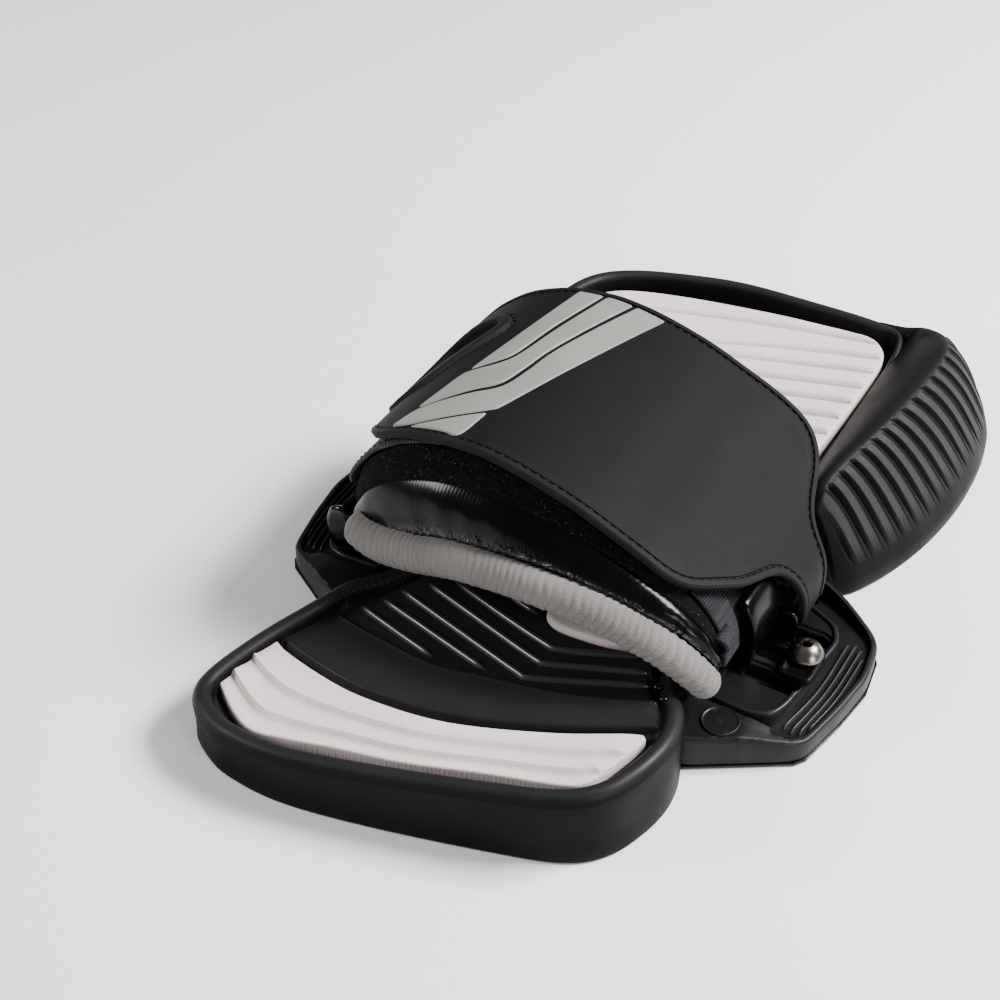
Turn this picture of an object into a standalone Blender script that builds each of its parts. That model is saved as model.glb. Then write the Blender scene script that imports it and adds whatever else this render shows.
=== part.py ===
"""Kiteboard foot binding: moulded foot pad on a base plate, with an adjustable
padded strap.  All driving dimensions are in millimetres below; meshes are made
in metres.  +X is the outer side (strap hinge), +Y points to the toes, +Z is up.
The origin is on the board face, midway between the two mounting screws."""
import math
import bpy
import bmesh
import numpy as np
from mathutils import Vector, Matrix
from mathutils.geometry import delaunay_2d_cdt

MM = 0.001
GAP = 0.35                    # clearance between touching pieces

# ---- base plate and board interface -------------------------------------
GASKET_T = 1.2
PLATE_Z0 = GASKET_T + 0.3     # underside of the base plate
PLATE_FLOOR = 7.0             # recessed floor of the wings
WING_RIM_Z = 9.0
WING_FACET_Z = 13.0
WING = [(66, -54), (97.5, -34.5), (100, -31), (104, -12), (106.5, 6),
        (104.5, 22), (101.5, 27), (88, 37), (78, 42), (60, 44)]
SCREW_X = 86.0                # screw centre, each side
SLOT_X0, SLOT_X1 = 67.0, 89.5
SLOT_Y = (-12.5, 0.0, 11.5)
SLOT_W = 7.0

# ---- chassis (strap bracket) --------------------------------------------
CHASSIS_Z0, CHASSIS_Z1 = PLATE_FLOOR + GAP, 12.8
CHASSIS = [(63, -31), (80, -32), (86.5, -29), (89, -22), (93, 14),
           (89.5, 21.5), (74, 29), (63, 33)]

# ---- strap anchor bars ----------------------------------------------------
HINGE = (75.6, 20.6)          # cover hinge bar, XZ
HINGE_R = 2.0
LBAR = (-79.0, 25.5)          # inner bars for the two leg straps, XZ
LBAR_R = 2.0

# ---- strap ---------------------------------------------------------------
COVER_T = 2.4
HOOK_T = 0.8
MESH_T = 1.6
LINER_T = 4.0
SLEEVE_R = 5.1                # outside of the cover sleeve round its bar
ROLL_R = 6.0
TOE_ROLL_R = 5.0
# outer profile of the closed cover in XZ, from the hinge to the free end
COVER_PROFILE = [(80.7, 26), (79.6, 32), (77, 36.7), (74, 40.2), (71, 43.4),
                 (67.5, 47), (62, 51.6), (55, 56.2), (42, 64.4), (31, 69.7),
                 (16, 76.3), (0, 81.3), (-12, 83.8), (-23, 84.6), (-38, 82.9),
                 (-53, 77.8), (-64, 70.8), (-70, 65), (-76, 57), (-81, 46.8)]
# side edges of the cover: (x on the profile, heel-side y, toe-side y)
COVER_EDGES = [(72.4, 10, 27), (80.7, 9.8, 27), (79.6, 9.3, 28.5), (77, 8.2, 31),
               (74, 7, 33), (71.2, 5, 35.5), (69.6, -3, 38.5), (68.3, -11, 43),
               (66.5, -15, 53), (62.5, -20, 62), (56, -31, 69), (49, -35, 70),
               (42, -35.5, 69.5), (0, -35.5, 69), (-38, -34.5, 68),
               (-56, -32, 66.5), (-64, -29.5, 65), (-70, -22, 61),
               (-76, -12, 54), (-81, -3, 43)]
# outer profile of the padded liner
LINER_PROFILE = [(66, 20), (66, 28), (64, 36), (59.5, 43.5), (52, 50.4),
                 (41, 57.8), (29.5, 63.6), (15, 69.9), (0, 74.8), (-12, 77.5),
                 (-23, 78.3), (-37, 76.7), (-51, 71.8), (-60.5, 65),
                 (-66.7, 57), (-69.5, 48), (-70.7, 40), (-71, 31)]
# centre line of the rolled piping along the heel-side lip
ROLL_PATH = [(68.5, -37.5, 22.5), (62, -41, 31), (53.5, -44, 38.5),
             (43, -46.5, 44), (32, -48, 47.8), (17, -49, 50), (3, -49, 50),
             (-12, -48, 48.2), (-24, -47, 45.7), (-40, -44.5, 39.5),
             (-56, -41, 34.6), (-69, -37.5, 35)]

# ---- foot pad: outline (x, y, rim height) -----------------------------------
PAD = [(-83, -107, 19), (-79.5, -118.5, 19.5), (-69, -126, 20),
       (-57, -129.5, 21), (-38, -130, 22.3), (-10, -125, 24.5),
       (27, -115.5, 27.3), (50, -108, 29), (62, -98.5, 30), (68.5, -83, 30.5),
       (70, -68, 30), (66, -54, 28), (58, -41, 23), (53, -25, 20), (52, 0, 20),
       (54, 22, 23), (58.5, 38, 28), (60.5, 52, 31.5), (61, 80, 31.5),
       (61, 110, 31.5), (61, 140, 32), (60.5, 158, 34), (56, 169.5, 35.5),
       (44, 173.5, 35.5), (15, 175, 35), (-15, 174, 35), (-42, 167, 35),
       (-59, 160, 35), (-70, 151, 35), (-76, 138, 35), (-78, 120, 35),
       (-77, 100, 34.5), (-74, 80, 33.5), (-69, 62, 31), (-60, 44, 26),
       (-54, 24, 21), (-52, 0, 18), (-53, -20, 17.5), (-59, -36, 18.5),
       (-66, -48, 20), (-71.5, -64, 20), (-79, -85, 19)]
HEEL_INSERT = [(-75, -81), (-78, -92), (-80, -101), (-77.5, -107), (-58, -120),
               (-44, -119.5), (-27, -116), (-4, -112), (21, -105), (45, -99),
               (52, -95), (55, -88), (59.5, -72.5), (57, -69), (35, -79),
               (11, -87.5), (-8, -91.5), (-32, -92), (-50, -89), (-66, -84.5)]
TOE_INSERT = [(53.5, 62), (54, 90), (55, 114), (55.5, 135), (55, 152),
              (51.5, 160.5), (43, 165.5), (18, 165), (-9, 161.5), (-37, 156),
              (-57, 149), (-66, 139), (-68, 120), (-67, 98), (-62, 76),
              (-54, 62), (-40, 55), (40, 55)]
ARCH_INSERT = [(3, -28.5), (5.5, -32), (12, -34.2), (30, -34), (42, -30),
               (46, -22), (45, 4), (40, 12), (28, 16), (10, 16), (2, 10),
               (1, -10), (1.5, -22)]
INSERT_GAP = 1.2

# ---- toe-side bumper: (inner, crest with height, outer base) -----------------
BUMPER = [((62, 46.5), (67, 47.5, 37), (80, 48)),
          ((61.6, 53), (67.5, 55, 43), (85.5, 54)),
          ((61.4, 67), (69.2, 69, 45.2), (92.5, 69)),
          ((61.4, 85), (72, 87, 45.6), (98.5, 89)),
          ((61.4, 104), (74.6, 106, 45.5), (102, 111)),
          ((61.4, 123), (76.5, 126, 45), (102.6, 131)),
          ((61.4, 138), (77, 143, 44.3), (101.3, 149)),
          ((61.4, 149), (75.8, 156.5, 43), (98, 163.5)),
          ((61.4, 157), (72.3, 165.5, 41), (91, 175.5)),
          ((61.4, 162.5), (67.5, 169.8, 39.4), (79, 182)),
          ((61, 167.5), (62.8, 172.3, 37.8), (65.5, 182))]


# ================================================================ helpers
for ob in list(bpy.data.objects):
    bpy.data.objects.remove(ob, do_unlink=True)

scene_col = bpy.context.scene.collection
parts = bpy.data.collections.new("kite_foot_binding")
scene_col.children.link(parts)
cutters = bpy.data.collections.new("cutters")
scene_col.children.link(cutters)


def material(name, rgb, rough, metal=0.0):
    m = bpy.data.materials.new(name)
    m.use_nodes = True
    b = m.node_tree.nodes["Principled BSDF"]
    b.inputs["Base Color"].default_value = (*rgb, 1)
    b.inputs["Roughness"].default_value = rough
    b.inputs["Metallic"].default_value = metal
    m.diffuse_color = (*rgb, 1)
    return m


def smoothstep(a, b, t):
    t = min(1.0, max(0.0, (t - a) / (b - a)))
    return t * t * (3 - 2 * t)


def spline(pts, n, closed=False):
    """Evenly spaced points on a Catmull-Rom curve through pts."""
    p = np.array(pts, float)
    m = len(p)
    fine = []
    last = m if closed else m - 1
    for i in range(last):
        if closed:
            a, b, c, d = p[(i - 1) % m], p[i], p[(i + 1) % m], p[(i + 2) % m]
        else:
            b, c = p[i], p[i + 1]
            a = p[i - 1] if i > 0 else 2 * b - c
            d = p[i + 2] if i + 2 < m else 2 * c - b
        for t in np.linspace(0, 1, 12, endpoint=False):
            fine.append(0.5 * (2 * b + (c - a) * t + (2 * a - 5 * b + 4 * c - d)
                               * t * t + (3 * b - a - 3 * c + d) * t ** 3))
    fine.append(p[0] if closed else p[-1])
    fine = np.array(fine)
    arc = np.concatenate([[0], np.cumsum(np.linalg.norm(np.diff(fine, axis=0),
                                                        axis=1))])
    want = np.linspace(0, arc[-1], n + 1 if closed else n)
    out = np.stack([np.interp(want, arc, fine[:, k])
                    for k in range(p.shape[1])], axis=1)
    return out[:-1] if closed else out


def inset(loop, d):
    """Move a counter-clockwise closed plan loop inwards by d."""
    q = np.asarray(loop, float)[:, :2]
    e = np.roll(q, -1, 0) - np.roll(q, 1, 0)
    e /= np.linalg.norm(e, axis=1)[:, None]
    return q + d * np.stack([-e[:, 1], e[:, 0]], 1)


def finish(name, me, mat, smooth=30.0, col=None):
    ob = bpy.data.objects.new(name, me)
    (col or parts).objects.link(ob)
    if mat:
        me.materials.append(mat)
    if smooth:
        me.shade_smooth()
        me.set_sharp_from_angle(angle=math.radians(smooth))
    if col is cutters:
        ob.hide_render = True
        ob.display_type = 'WIRE'
    return ob


def from_bm(name, bm, mat, smooth=30.0, col=None):
    bmesh.ops.recalc_face_normals(bm, faces=bm.faces)
    me = bpy.data.meshes.new(name)
    bm.to_mesh(me)
    bm.free()
    return finish(name, me, mat, smooth, col)


def ring_solid(name, rings, mat, smooth=30.0, col=None):
    """Loft closed rings of equal length; the ends are closed with fans."""
    bm = bmesh.new()
    rows = [[bm.verts.new(Vector(p) * MM) for p in r] for r in rings]
    n = len(rows[0])
    for a, b in zip(rows[:-1], rows[1:]):
        for i in range(n):
            bm.faces.new((a[i], a[(i + 1) % n], b[(i + 1) % n], b[i]))
    for r in (rows[0], rows[-1]):
        c = bm.verts.new(sum((v.co for v in r), Vector()) / n)
        for i in range(n):
            bm.faces.new((r[i], r[(i + 1) % n], c))
    return from_bm(name, bm, mat, smooth, col)


def outline(name, loop, half):
    """A flat outline as a filled 2D curve, made a mesh of thickness 2 * half."""
    cu = bpy.data.curves.new(name, 'CURVE')
    cu.dimensions = '2D'
    cu.fill_mode = 'BOTH'
    cu.extrude = half * MM
    sp = cu.splines.new('POLY')
    sp.points.add(len(loop) - 1)
    for p, v in zip(sp.points, loop):
        p.co = (v[0] * MM, v[1] * MM, 0, 1)
    sp.use_cyclic_u = True
    o = bpy.data.objects.new(name, cu)
    scene_col.objects.link(o)
    dg = bpy.context.evaluated_depsgraph_get()
    me = bpy.data.meshes.new_from_object(o.evaluated_get(dg))
    bpy.data.objects.remove(o, do_unlink=True)
    bpy.data.curves.remove(cu)
    bm = bmesh.new()
    bm.from_mesh(me)
    bpy.data.meshes.remove(me)
    bmesh.ops.remove_doubles(bm, verts=bm.verts, dist=1e-6)
    return bm


def prism(name, loop, z0, z1, mat, smooth=30.0, col=None):
    """Upright prism over a plan loop; z0 and z1 are numbers or f(x, y)."""
    if not callable(z0) and not callable(z1):
        bm = outline(name, loop, (z1 - z0) / 2)
        bmesh.ops.translate(bm, vec=(0, 0, (z0 + z1) / 2 * MM), verts=bm.verts)
        return from_bm(name, bm, mat, smooth, col)
    f0 = z0 if callable(z0) else (lambda x, y: z0)
    f1 = z1 if callable(z1) else (lambda x, y: z1)
    bm = bmesh.new()
    lo = [bm.verts.new(Vector((p[0], p[1], f0(p[0], p[1]))) * MM) for p in loop]
    hi = [bm.verts.new(Vector((p[0], p[1], f1(p[0], p[1]))) * MM) for p in loop]
    n = len(lo)
    bm.faces.new(lo)
    bm.faces.new(hi)
    for i in range(n):
        bm.faces.new((lo[i], lo[(i + 1) % n], hi[(i + 1) % n], hi[i]))
    bmesh.ops.triangulate(bm, faces=[f for f in bm.faces if len(f.verts) > 4])
    return from_bm(name, bm, mat, smooth, col)


def side_prism(name, loop, y0, y1, mat, smooth=30.0, col=None):
    """Prism along Y over an XZ loop."""
    bm = outline(name, loop, (y1 - y0) / 2)
    turn = Matrix.Translation((0, (y0 + y1) / 2 * MM, 0)) \
        @ Matrix.Rotation(math.radians(90), 4, 'X')
    bmesh.ops.transform(bm, matrix=turn, verts=bm.verts)
    return from_bm(name, bm, mat, smooth, col)


def box(name, lo, hi, mat=None, col=None, bevel=0.0):
    bm = bmesh.new()
    bmesh.ops.create_cube(bm, size=1.0)
    for v in bm.verts:
        v.co = Vector([(lo[k] + hi[k]) / 2 + v.co[k] * (hi[k] - lo[k])
                       for k in range(3)]) * MM
    ob = from_bm(name, bm, mat, 30.0, col)
    if bevel:
        b = ob.modifiers.new("edges", 'BEVEL')
        b.width = bevel * MM
        b.segments = 2
    return ob


def rod(name, p0, p1, r, mat, seg=20, col=None):
    a, b = Vector(p0) * MM, Vector(p1) * MM
    bm = bmesh.new()
    bmesh.ops.create_cone(bm, cap_ends=True, segments=seg, radius1=r * MM,
                          radius2=r * MM, depth=(b - a).length)
    rot = Vector((0, 0, 1)).rotation_difference(b - a).to_matrix().to_4x4()
    bmesh.ops.transform(bm, matrix=Matrix.Translation((a + b) / 2) @ rot,
                        verts=bm.verts)
    return from_bm(name, bm, mat, 40.0, col)


def boolean(ob, other, op):
    m = ob.modifiers.new(op.lower(), 'BOOLEAN')
    m.operation = op
    m.solver = 'EXACT'
    m.object = other
    return m


def apply_all(ob):
    dg = bpy.context.evaluated_depsgraph_get()
    me = bpy.data.meshes.new_from_object(ob.evaluated_get(dg))
    old = ob.data
    ob.modifiers.clear()
    ob.data = me
    bpy.data.meshes.remove(old)


def union(ob, others):
    for o in others:
        boolean(ob, o, 'UNION')
    apply_all(ob)
    for o in others:
        bpy.data.objects.remove(o, do_unlink=True)


def cut(ob, others, keep=False):
    for o in others:
        boolean(ob, o, 'DIFFERENCE')
    apply_all(ob)
    if not keep:
        for o in others:
            bpy.data.objects.remove(o, do_unlink=True)


def sheet(name, grid, thick, mat, smooth=40.0):
    """Solidify an open grid of points; it grows away from its normals."""
    rows, cols = len(grid), len(grid[0])
    bm = bmesh.new()
    v = [[bm.verts.new(Vector(p) * MM) for p in row] for row in grid]
    for i in range(rows - 1):
        for j in range(cols - 1):
            bm.faces.new((v[i][j], v[i][j + 1], v[i + 1][j + 1], v[i + 1][j]))
    me = bpy.data.meshes.new(name)
    bm.to_mesh(me)
    bm.free()
    ob = finish(name, me, mat, smooth)
    s = ob.modifiers.new("thickness", 'SOLIDIFY')
    s.thickness = thick * MM
    s.offset = -1
    s.use_even_offset = True
    return ob


def rounded_slot(x0, x1, y, w, n=6):
    r = w / 2
    pts = []
    for k in range(n + 1):
        a = -math.pi / 2 + math.pi * k / n
        pts.append((x1 - r + r * math.cos(a), y + r * math.sin(a)))
    for k in range(n + 1):
        a = math.pi / 2 + math.pi * k / n
        pts.append((x0 + r + r * math.cos(a), y + r * math.sin(a)))
    return pts


def mirror_x(pts):
    return [(-p[0], *p[1:]) for p in reversed(pts)]


# ================================================================ materials
NYLON = material("nylon_black", (0.018, 0.018, 0.019), 0.42)
NYLON_G = material("nylon_gloss", (0.012, 0.012, 0.013), 0.18)
GASKET = material("gasket_black", (0.01, 0.01, 0.01), 0.2)
EVA_BLACK = material("eva_black", (0.02, 0.02, 0.021), 0.5)
EVA_LIGHT = material("eva_light", (0.72, 0.66, 0.66), 0.7)
STEEL = material("steel_dark", (0.30, 0.28, 0.27), 0.28, 1.0)
RUBBER = material("rubber_cover", (0.035, 0.033, 0.036), 0.55)
GREY = material("rubber_grey", (0.36, 0.38, 0.35), 0.5)
MESH = material("mesh_weave", (0.07, 0.07, 0.08), 0.9)
LOOP = material("loop_velvet", (0.008, 0.008, 0.008), 0.95)
VINYL = material("vinyl_black", (0.01, 0.01, 0.01), 0.2)
TWILL = material("twill_grey", (0.42, 0.40, 0.38), 0.85)
FOAM = material("liner_foam", (0.015, 0.015, 0.015), 0.85)
WEBBING = material("webbing_black", (0.02, 0.02, 0.022), 0.7)

# ================================================================ base plate
wing_r = WING
wing_l = mirror_x(WING)
plate_loop = wing_r + wing_l                      # counter-clockwise


def slots_for(side, ys, z0, z1, tag):
    out = []
    for i, y in enumerate(ys):
        loop = rounded_slot(SLOT_X0, SLOT_X1, y, SLOT_W)
        if side < 0:
            loop = [(-a, b) for a, b in reversed(loop)]
        out.append(prism(f"cut_{tag}_{i}", loop, z0, z1, None, 0, cutters))
    return out


gasket = prism("base_gasket", inset(plate_loop, -0.5), 0, GASKET_T, GASKET)
cut(gasket, slots_for(1, (0.0,), -2, 4, "gr") + slots_for(-1, (0.0,), -2, 4,
                                                          "gl"))

base = prism("base_plate", plate_loop, PLATE_Z0, PLATE_FLOOR, NYLON)


def wing_rim(side):
    """Raised border of one wing: a band swept round its free edges."""
    edge = [(66, -54, 13.2), (80, -45.2, 12.0), (97.5, -34.5, 9.3),
            (100, -31, 9), (104, -12, 9), (106.5, 6, 9), (104.5, 22, 9),
            (101.5, 27, 9.2), (88, 37, 11), (78, 42, 12.4), (66, 43.5, 13)]
    q = np.array(edge)
    d = np.gradient(q[:, :2], axis=0)
    d /= np.linalg.norm(d, axis=1)[:, None]
    nrm = np.stack([-d[:, 1], d[:, 0]], 1)
    rings = []
    for (x, y, z), n in zip(edge, nrm):
        xi, yi = x + 2.9 * n[0], y + 2.9 * n[1]
        xo, yo = x - 0.0 * n[0], y - 0.0 * n[1]
        rings.append([(xo, yo, 6.0), (xo, yo, z - 0.8),
                      (x + 0.8 * n[0], y + 0.8 * n[1], z),
                      (x + 2.3 * n[0], y + 2.3 * n[1], z), (xi, yi, z - 0.8),
                      (xi, yi, 6.0)])
    if side < 0:
        rings = [[(-p[0], p[1], p[2]) for p in r] for r in rings]
    return ring_solid(f"rim_{side}", rings, None)


def facet(side):
    """Smooth raised corner beside the pad, heel side; it carries the badge."""
    loop = [(60, -50), (68, -51.5), (96.5, -34.8), (86, -32.6), (80, -32.6),
            (60, -31.6)]
    zt = lambda x, y: WING_FACET_Z if abs(x) < 81 else \
        WING_FACET_Z - 3.6 * (abs(x) - 81) / 15.5
    if side < 0:
        loop = [(-x, y) for x, y in reversed(loop)]
    return prism(f"facet_{side}", loop, 6.0, zt, None)


def ridge_blocks(side):
    out = []
    for k in range(3):
        x = 94.4 + 2.4 * k
        y0, y1 = -27 + 4.5 * k, 19 - 2.2 * k
        a, b = (x, x + 0.8) if side > 0 else (-x - 0.8, -x)
        out.append(box(f"ridge_{side}_{k}", (a, y0, 6), (b, y1, 7.8)))
    return out


union(base, [wing_rim(1), wing_rim(-1), facet(1), facet(-1)]
      + ridge_blocks(1) + ridge_blocks(-1))
cut(base, slots_for(1, (0.0,), 0, 9, "br") + slots_for(-1, (0.0,), 0, 9, "bl"))

# ================================================================ foot pad
pad = spline(PAD, 96, closed=True)
rim_h = pad[:, 2]


def heel_floor(x):
    return 13.2 + 0.077 * (x + 70)


def floor_z(x, y):
    return heel_floor(x) + (26.0 - heel_floor(x)) * smoothstep(12, 58, y)


def pad_ring(d, zf):
    q = inset(pad, d)
    return [(x, y, zf(x, y, h)) for (x, y), h in zip(q, rim_h)]


# outer wall and rim, from the bottom edge to the inner foot of the rim
wall = [pad_ring(0.8, lambda x, y, h: 0.0),
        pad_ring(0.0, lambda x, y, h: 1.0),
        pad_ring(0.0, lambda x, y, h: h - 3.2),
        pad_ring(1.0, lambda x, y, h: h - 0.9),
        pad_ring(3.0, lambda x, y, h: h),
        pad_ring(5.5, lambda x, y, h: h - 0.5),
        pad_ring(8.0, lambda x, y, h: max(floor_z(x, y), h - 5.0))]
bm = bmesh.new()
rows = [[bm.verts.new(Vector(p) * MM) for p in r] for r in wall]
n = len(rows[0])
for a, b in zip(rows[:-1], rows[1:]):
    for i in range(n):
        bm.faces.new((a[i], a[(i + 1) % n], b[(i + 1) % n], b[i]))
# floor: a triangulated field inside the last ring
ring = [(p[0], p[1]) for p in wall[-1]]
inner = [Vector(p) for p in ring]
poly = inset(np.array(ring), 5.0)


def inside(x, y, loop):
    c = False
    for i in range(len(loop)):
        x0, y0 = loop[i]
        x1, y1 = loop[i - 1]
        if (y0 > y) != (y1 > y) and x < (x1 - x0) * (y - y0) / (y1 - y0) + x0:
            c = not c
    return c


seeds = [Vector((x, y)) for y in range(-120, 170, 12)
         for x in range(-78, 66, 12) if inside(x, y, poly)]
edges = [(i, (i + 1) % n) for i in range(n)]
vs, es, fs, ov, oe, of_ = delaunay_2d_cdt(inner + seeds, edges, [], 1, 1e-6)
vmap = []
for k, v in enumerate(vs):
    src = ov[k][0]
    if src < n:
        vmap.append(rows[-1][src])
    else:
        z = floor_z(v.x, v.y)
        vmap.append(bm.verts.new(Vector((v.x, v.y, z)) * MM))
for f in fs:
    try:
        bm.faces.new([vmap[i] for i in f])
    except ValueError:
        pass
cv = bm.verts.new(Vector((0, 20, 0)) * MM)
bottom = rows[0]
f = bm.faces.new(list(reversed(bottom)))
bm.verts.remove(cv)
bmesh.ops.triangulate(bm, faces=[f])
footbed = from_bm("footbed", bm, EVA_BLACK, 35)

heel_loop = spline(HEEL_INSERT, 44, closed=True)
toe_loop = spline(TOE_INSERT, 44, closed=True)
arch_loop = spline(ARCH_INSERT, 28, closed=True)


def heel_top(x, y):
    return 14.6 + 0.077 * (x + 76)


def arch_top(x, y):
    return heel_floor(x) + 1.6


def toe_top(x, y):
    return 28.2 + 2.0 * smoothstep(60, 110, y)


pockets = [prism("cut_heel", inset(heel_loop, -INSERT_GAP),
                 lambda x, y: heel_top(x, y) - 4.2, 45, None, 0, cutters),
           prism("cut_arch", inset(arch_loop, -0.8),
                 lambda x, y: arch_top(x, y) - 3.3, 45, None, 0, cutters),
           prism("cut_toe", inset(toe_loop, -INSERT_GAP),
                 lambda x, y: toe_top(x, y) - 4.3, 60, None, 0, cutters)]
# room for the base plate and its facets under the middle of the pad
under = prism("cut_plate", inset(np.array(plate_loop), -1.0), -5,
              PLATE_FLOOR + GAP, None, 0, cutters)
sides = [prism(f"cut_facet_{s}",
               [(s * x, y) for x, y in
                ([(53, -56.5), (115, -56.5), (115, 46.5), (53, 46.5)]
                 if s > 0 else
                 [(53, 46.5), (115, 46.5), (115, -56.5), (53, -56.5)])],
               -5, 14.0, None, 0, cutters) for s in (1, -1)]
cut(footbed, pockets + [under] + sides)

prism("heel_insert", heel_loop, lambda x, y: heel_top(x, y) - 3.8, heel_top,
      EVA_LIGHT)
prism("arch_insert", arch_loop, lambda x, y: arch_top(x, y) - 2.9, arch_top,
      EVA_LIGHT)
prism("toe_insert", toe_loop, lambda x, y: toe_top(x, y) - 3.9, toe_top,
      EVA_LIGHT)

# ================================================================ bumper
FALL = [(0.0, 0.0), (0.10, 0.7), (0.30, 5.0), (0.52, 12.5), (0.74, 22.5),
        (0.90, 31.0), (0.985, 37.5)]
rings = []
st = np.array([[*i, 31.5, *c, *o, 0] for i, c, o in BUMPER], float)
dense = spline(st, 22)
dense[:, 2] = 31.5
for k, s in enumerate(dense):
    I, Cr, O = s[0:3], s[3:6], s[6:9]
    top = min(31.2, Cr[2] - 1.5)
    sec = [(I[0], I[1], 0.0), (I[0], I[1], top)]
    for f in (0.45, 0.85):
        sec.append((I[0] + f * (Cr[0] - I[0]), I[1] + f * (Cr[1] - I[1]),
                    top + (Cr[2] - top) * (f ** 1.1 if f < 0.8 else 0.97)))
    for h, dz in FALL:
        z = Cr[2] - dz * (Cr[2] - 2.5) / 42.5
        sec.append((Cr[0] + h * (O[0] - Cr[0]), Cr[1] + h * (O[1] - Cr[1]), z))
    sec.append((O[0], O[1], 3.0))
    sec.append((O[0] * 0.992 + I[0] * 0.008, O[1] * 0.992 + I[1] * 0.008, 0.0))
    rings.append(sec)
ring_solid("toe_bumper", rings, EVA_BLACK, 35)

# badge on the outer facet
rod("badge", (73, -40.4, WING_FACET_Z + 0.3), (73, -40.4, WING_FACET_Z + 1.1),
    6.2, NYLON_G, 32)

# ================================================================ chassis
def chassis(side, name):
    loop = CHASSIS if side > 0 else mirror_x(CHASSIS)
    return prism(name, loop, CHASSIS_Z0, CHASSIS_Z1, NYLON_G)


right = chassis(1, "right_chassis")


def wall_block(name, y0, y1, outer, thick=3.0):
    """Upright curved ear: outer face given as an XZ path from the foot up."""
    q = spline(outer, 9)
    d = np.gradient(q, axis=0)
    d /= np.linalg.norm(d, axis=1)[:, None]
    nrm = np.stack([-d[:, 1], d[:, 0]], 1)          # towards the foot
    rings = []
    for a, b in zip(q, q + thick * nrm):
        rings.append([(a[0], y0 + 0.8, a[1]), (a[0], y1 - 0.8, a[1]),
                      (a[0] - 0.4, y1, a[1]), (b[0], y1, b[1]),
                      (b[0], y0, b[1]), (a[0] - 0.4, y0, a[1])])
    return ring_solid(name, rings, None)


EAR = [(70, 10), (72.3, 20), (72.8, 28), (71.4, 35.5), (67.6, 41.5)]
cut(right, slots_for(1, SLOT_Y, 4, 20, "ch_r"))
union(right, [wall_block("ear_a", -14, 7.4, EAR),
              wall_block("ear_b", 30.6, 36.5, EAR[:3] + [(71.8, 33)]),
              side_prism("lug_a", [(67.8, 10), (79, 10), (79.6, 20), (78.4, 23.6),
                                   (75.6, 24.6), (70, 24)], 6.7, 8.9, None),
              side_prism("lug_b", [(67.8, 10), (78, 10), (79.6, 20),
                                   (78.4, 23.6), (75.6, 24.6), (70, 24)],
                         29.8, 32.4, None)])
cut(right, [rod("cut_hinge", (HINGE[0], 0, HINGE[1]), (HINGE[0], 40, HINGE[1]),
                HINGE_R + 0.35, None, 20, cutters)])
rod("cover_hinge_bar", (HINGE[0], 6.9, HINGE[1]), (HINGE[0], 32.8, HINGE[1]),
    HINGE_R, STEEL)

left = chassis(-1, "left_chassis")
LEAR = [(-70.5, 10), (-83, 10), (-86, 17), (-86.6, 25), (-84.6, 30.5),
        (-80, 32.6), (-76.6, 30), (-73.6, 22)]
LEG_Y = {"heel": (-25.5, 3.5), "toe": (18.5, 43.5)}
LEAR_Y = ((-29.5, -26.7), (9.6, 12.8), (45.2, 48.0))
cut(left, slots_for(-1, SLOT_Y, 4, 20, "ch_l"))
union(left, [side_prism(f"lear_{k}", LEAR, a, b, None)
             for k, (a, b) in enumerate(LEAR_Y)]
      + [side_prism("lwall", [(-70.2, 11), (-72.8, 11), (-72.8, 22), (-70.2, 21)],
                    -28.5, 32, None),
         side_prism("lwall_b", [(-70.4, 14), (-74.6, 14), (-73.6, 20),
                                (-70.4, 19.6)], 31, 47.4, None)])
cut(left, [rod("cut_lbar", (LBAR[0], -40, LBAR[1]), (LBAR[0], 60, LBAR[1]),
               LBAR_R + 0.35, None, 20, cutters)])
rod("left_anchor_bar", (LBAR[0], -29.3, LBAR[1]), (LBAR[0], 47.8, LBAR[1]),
    LBAR_R, STEEL)

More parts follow.
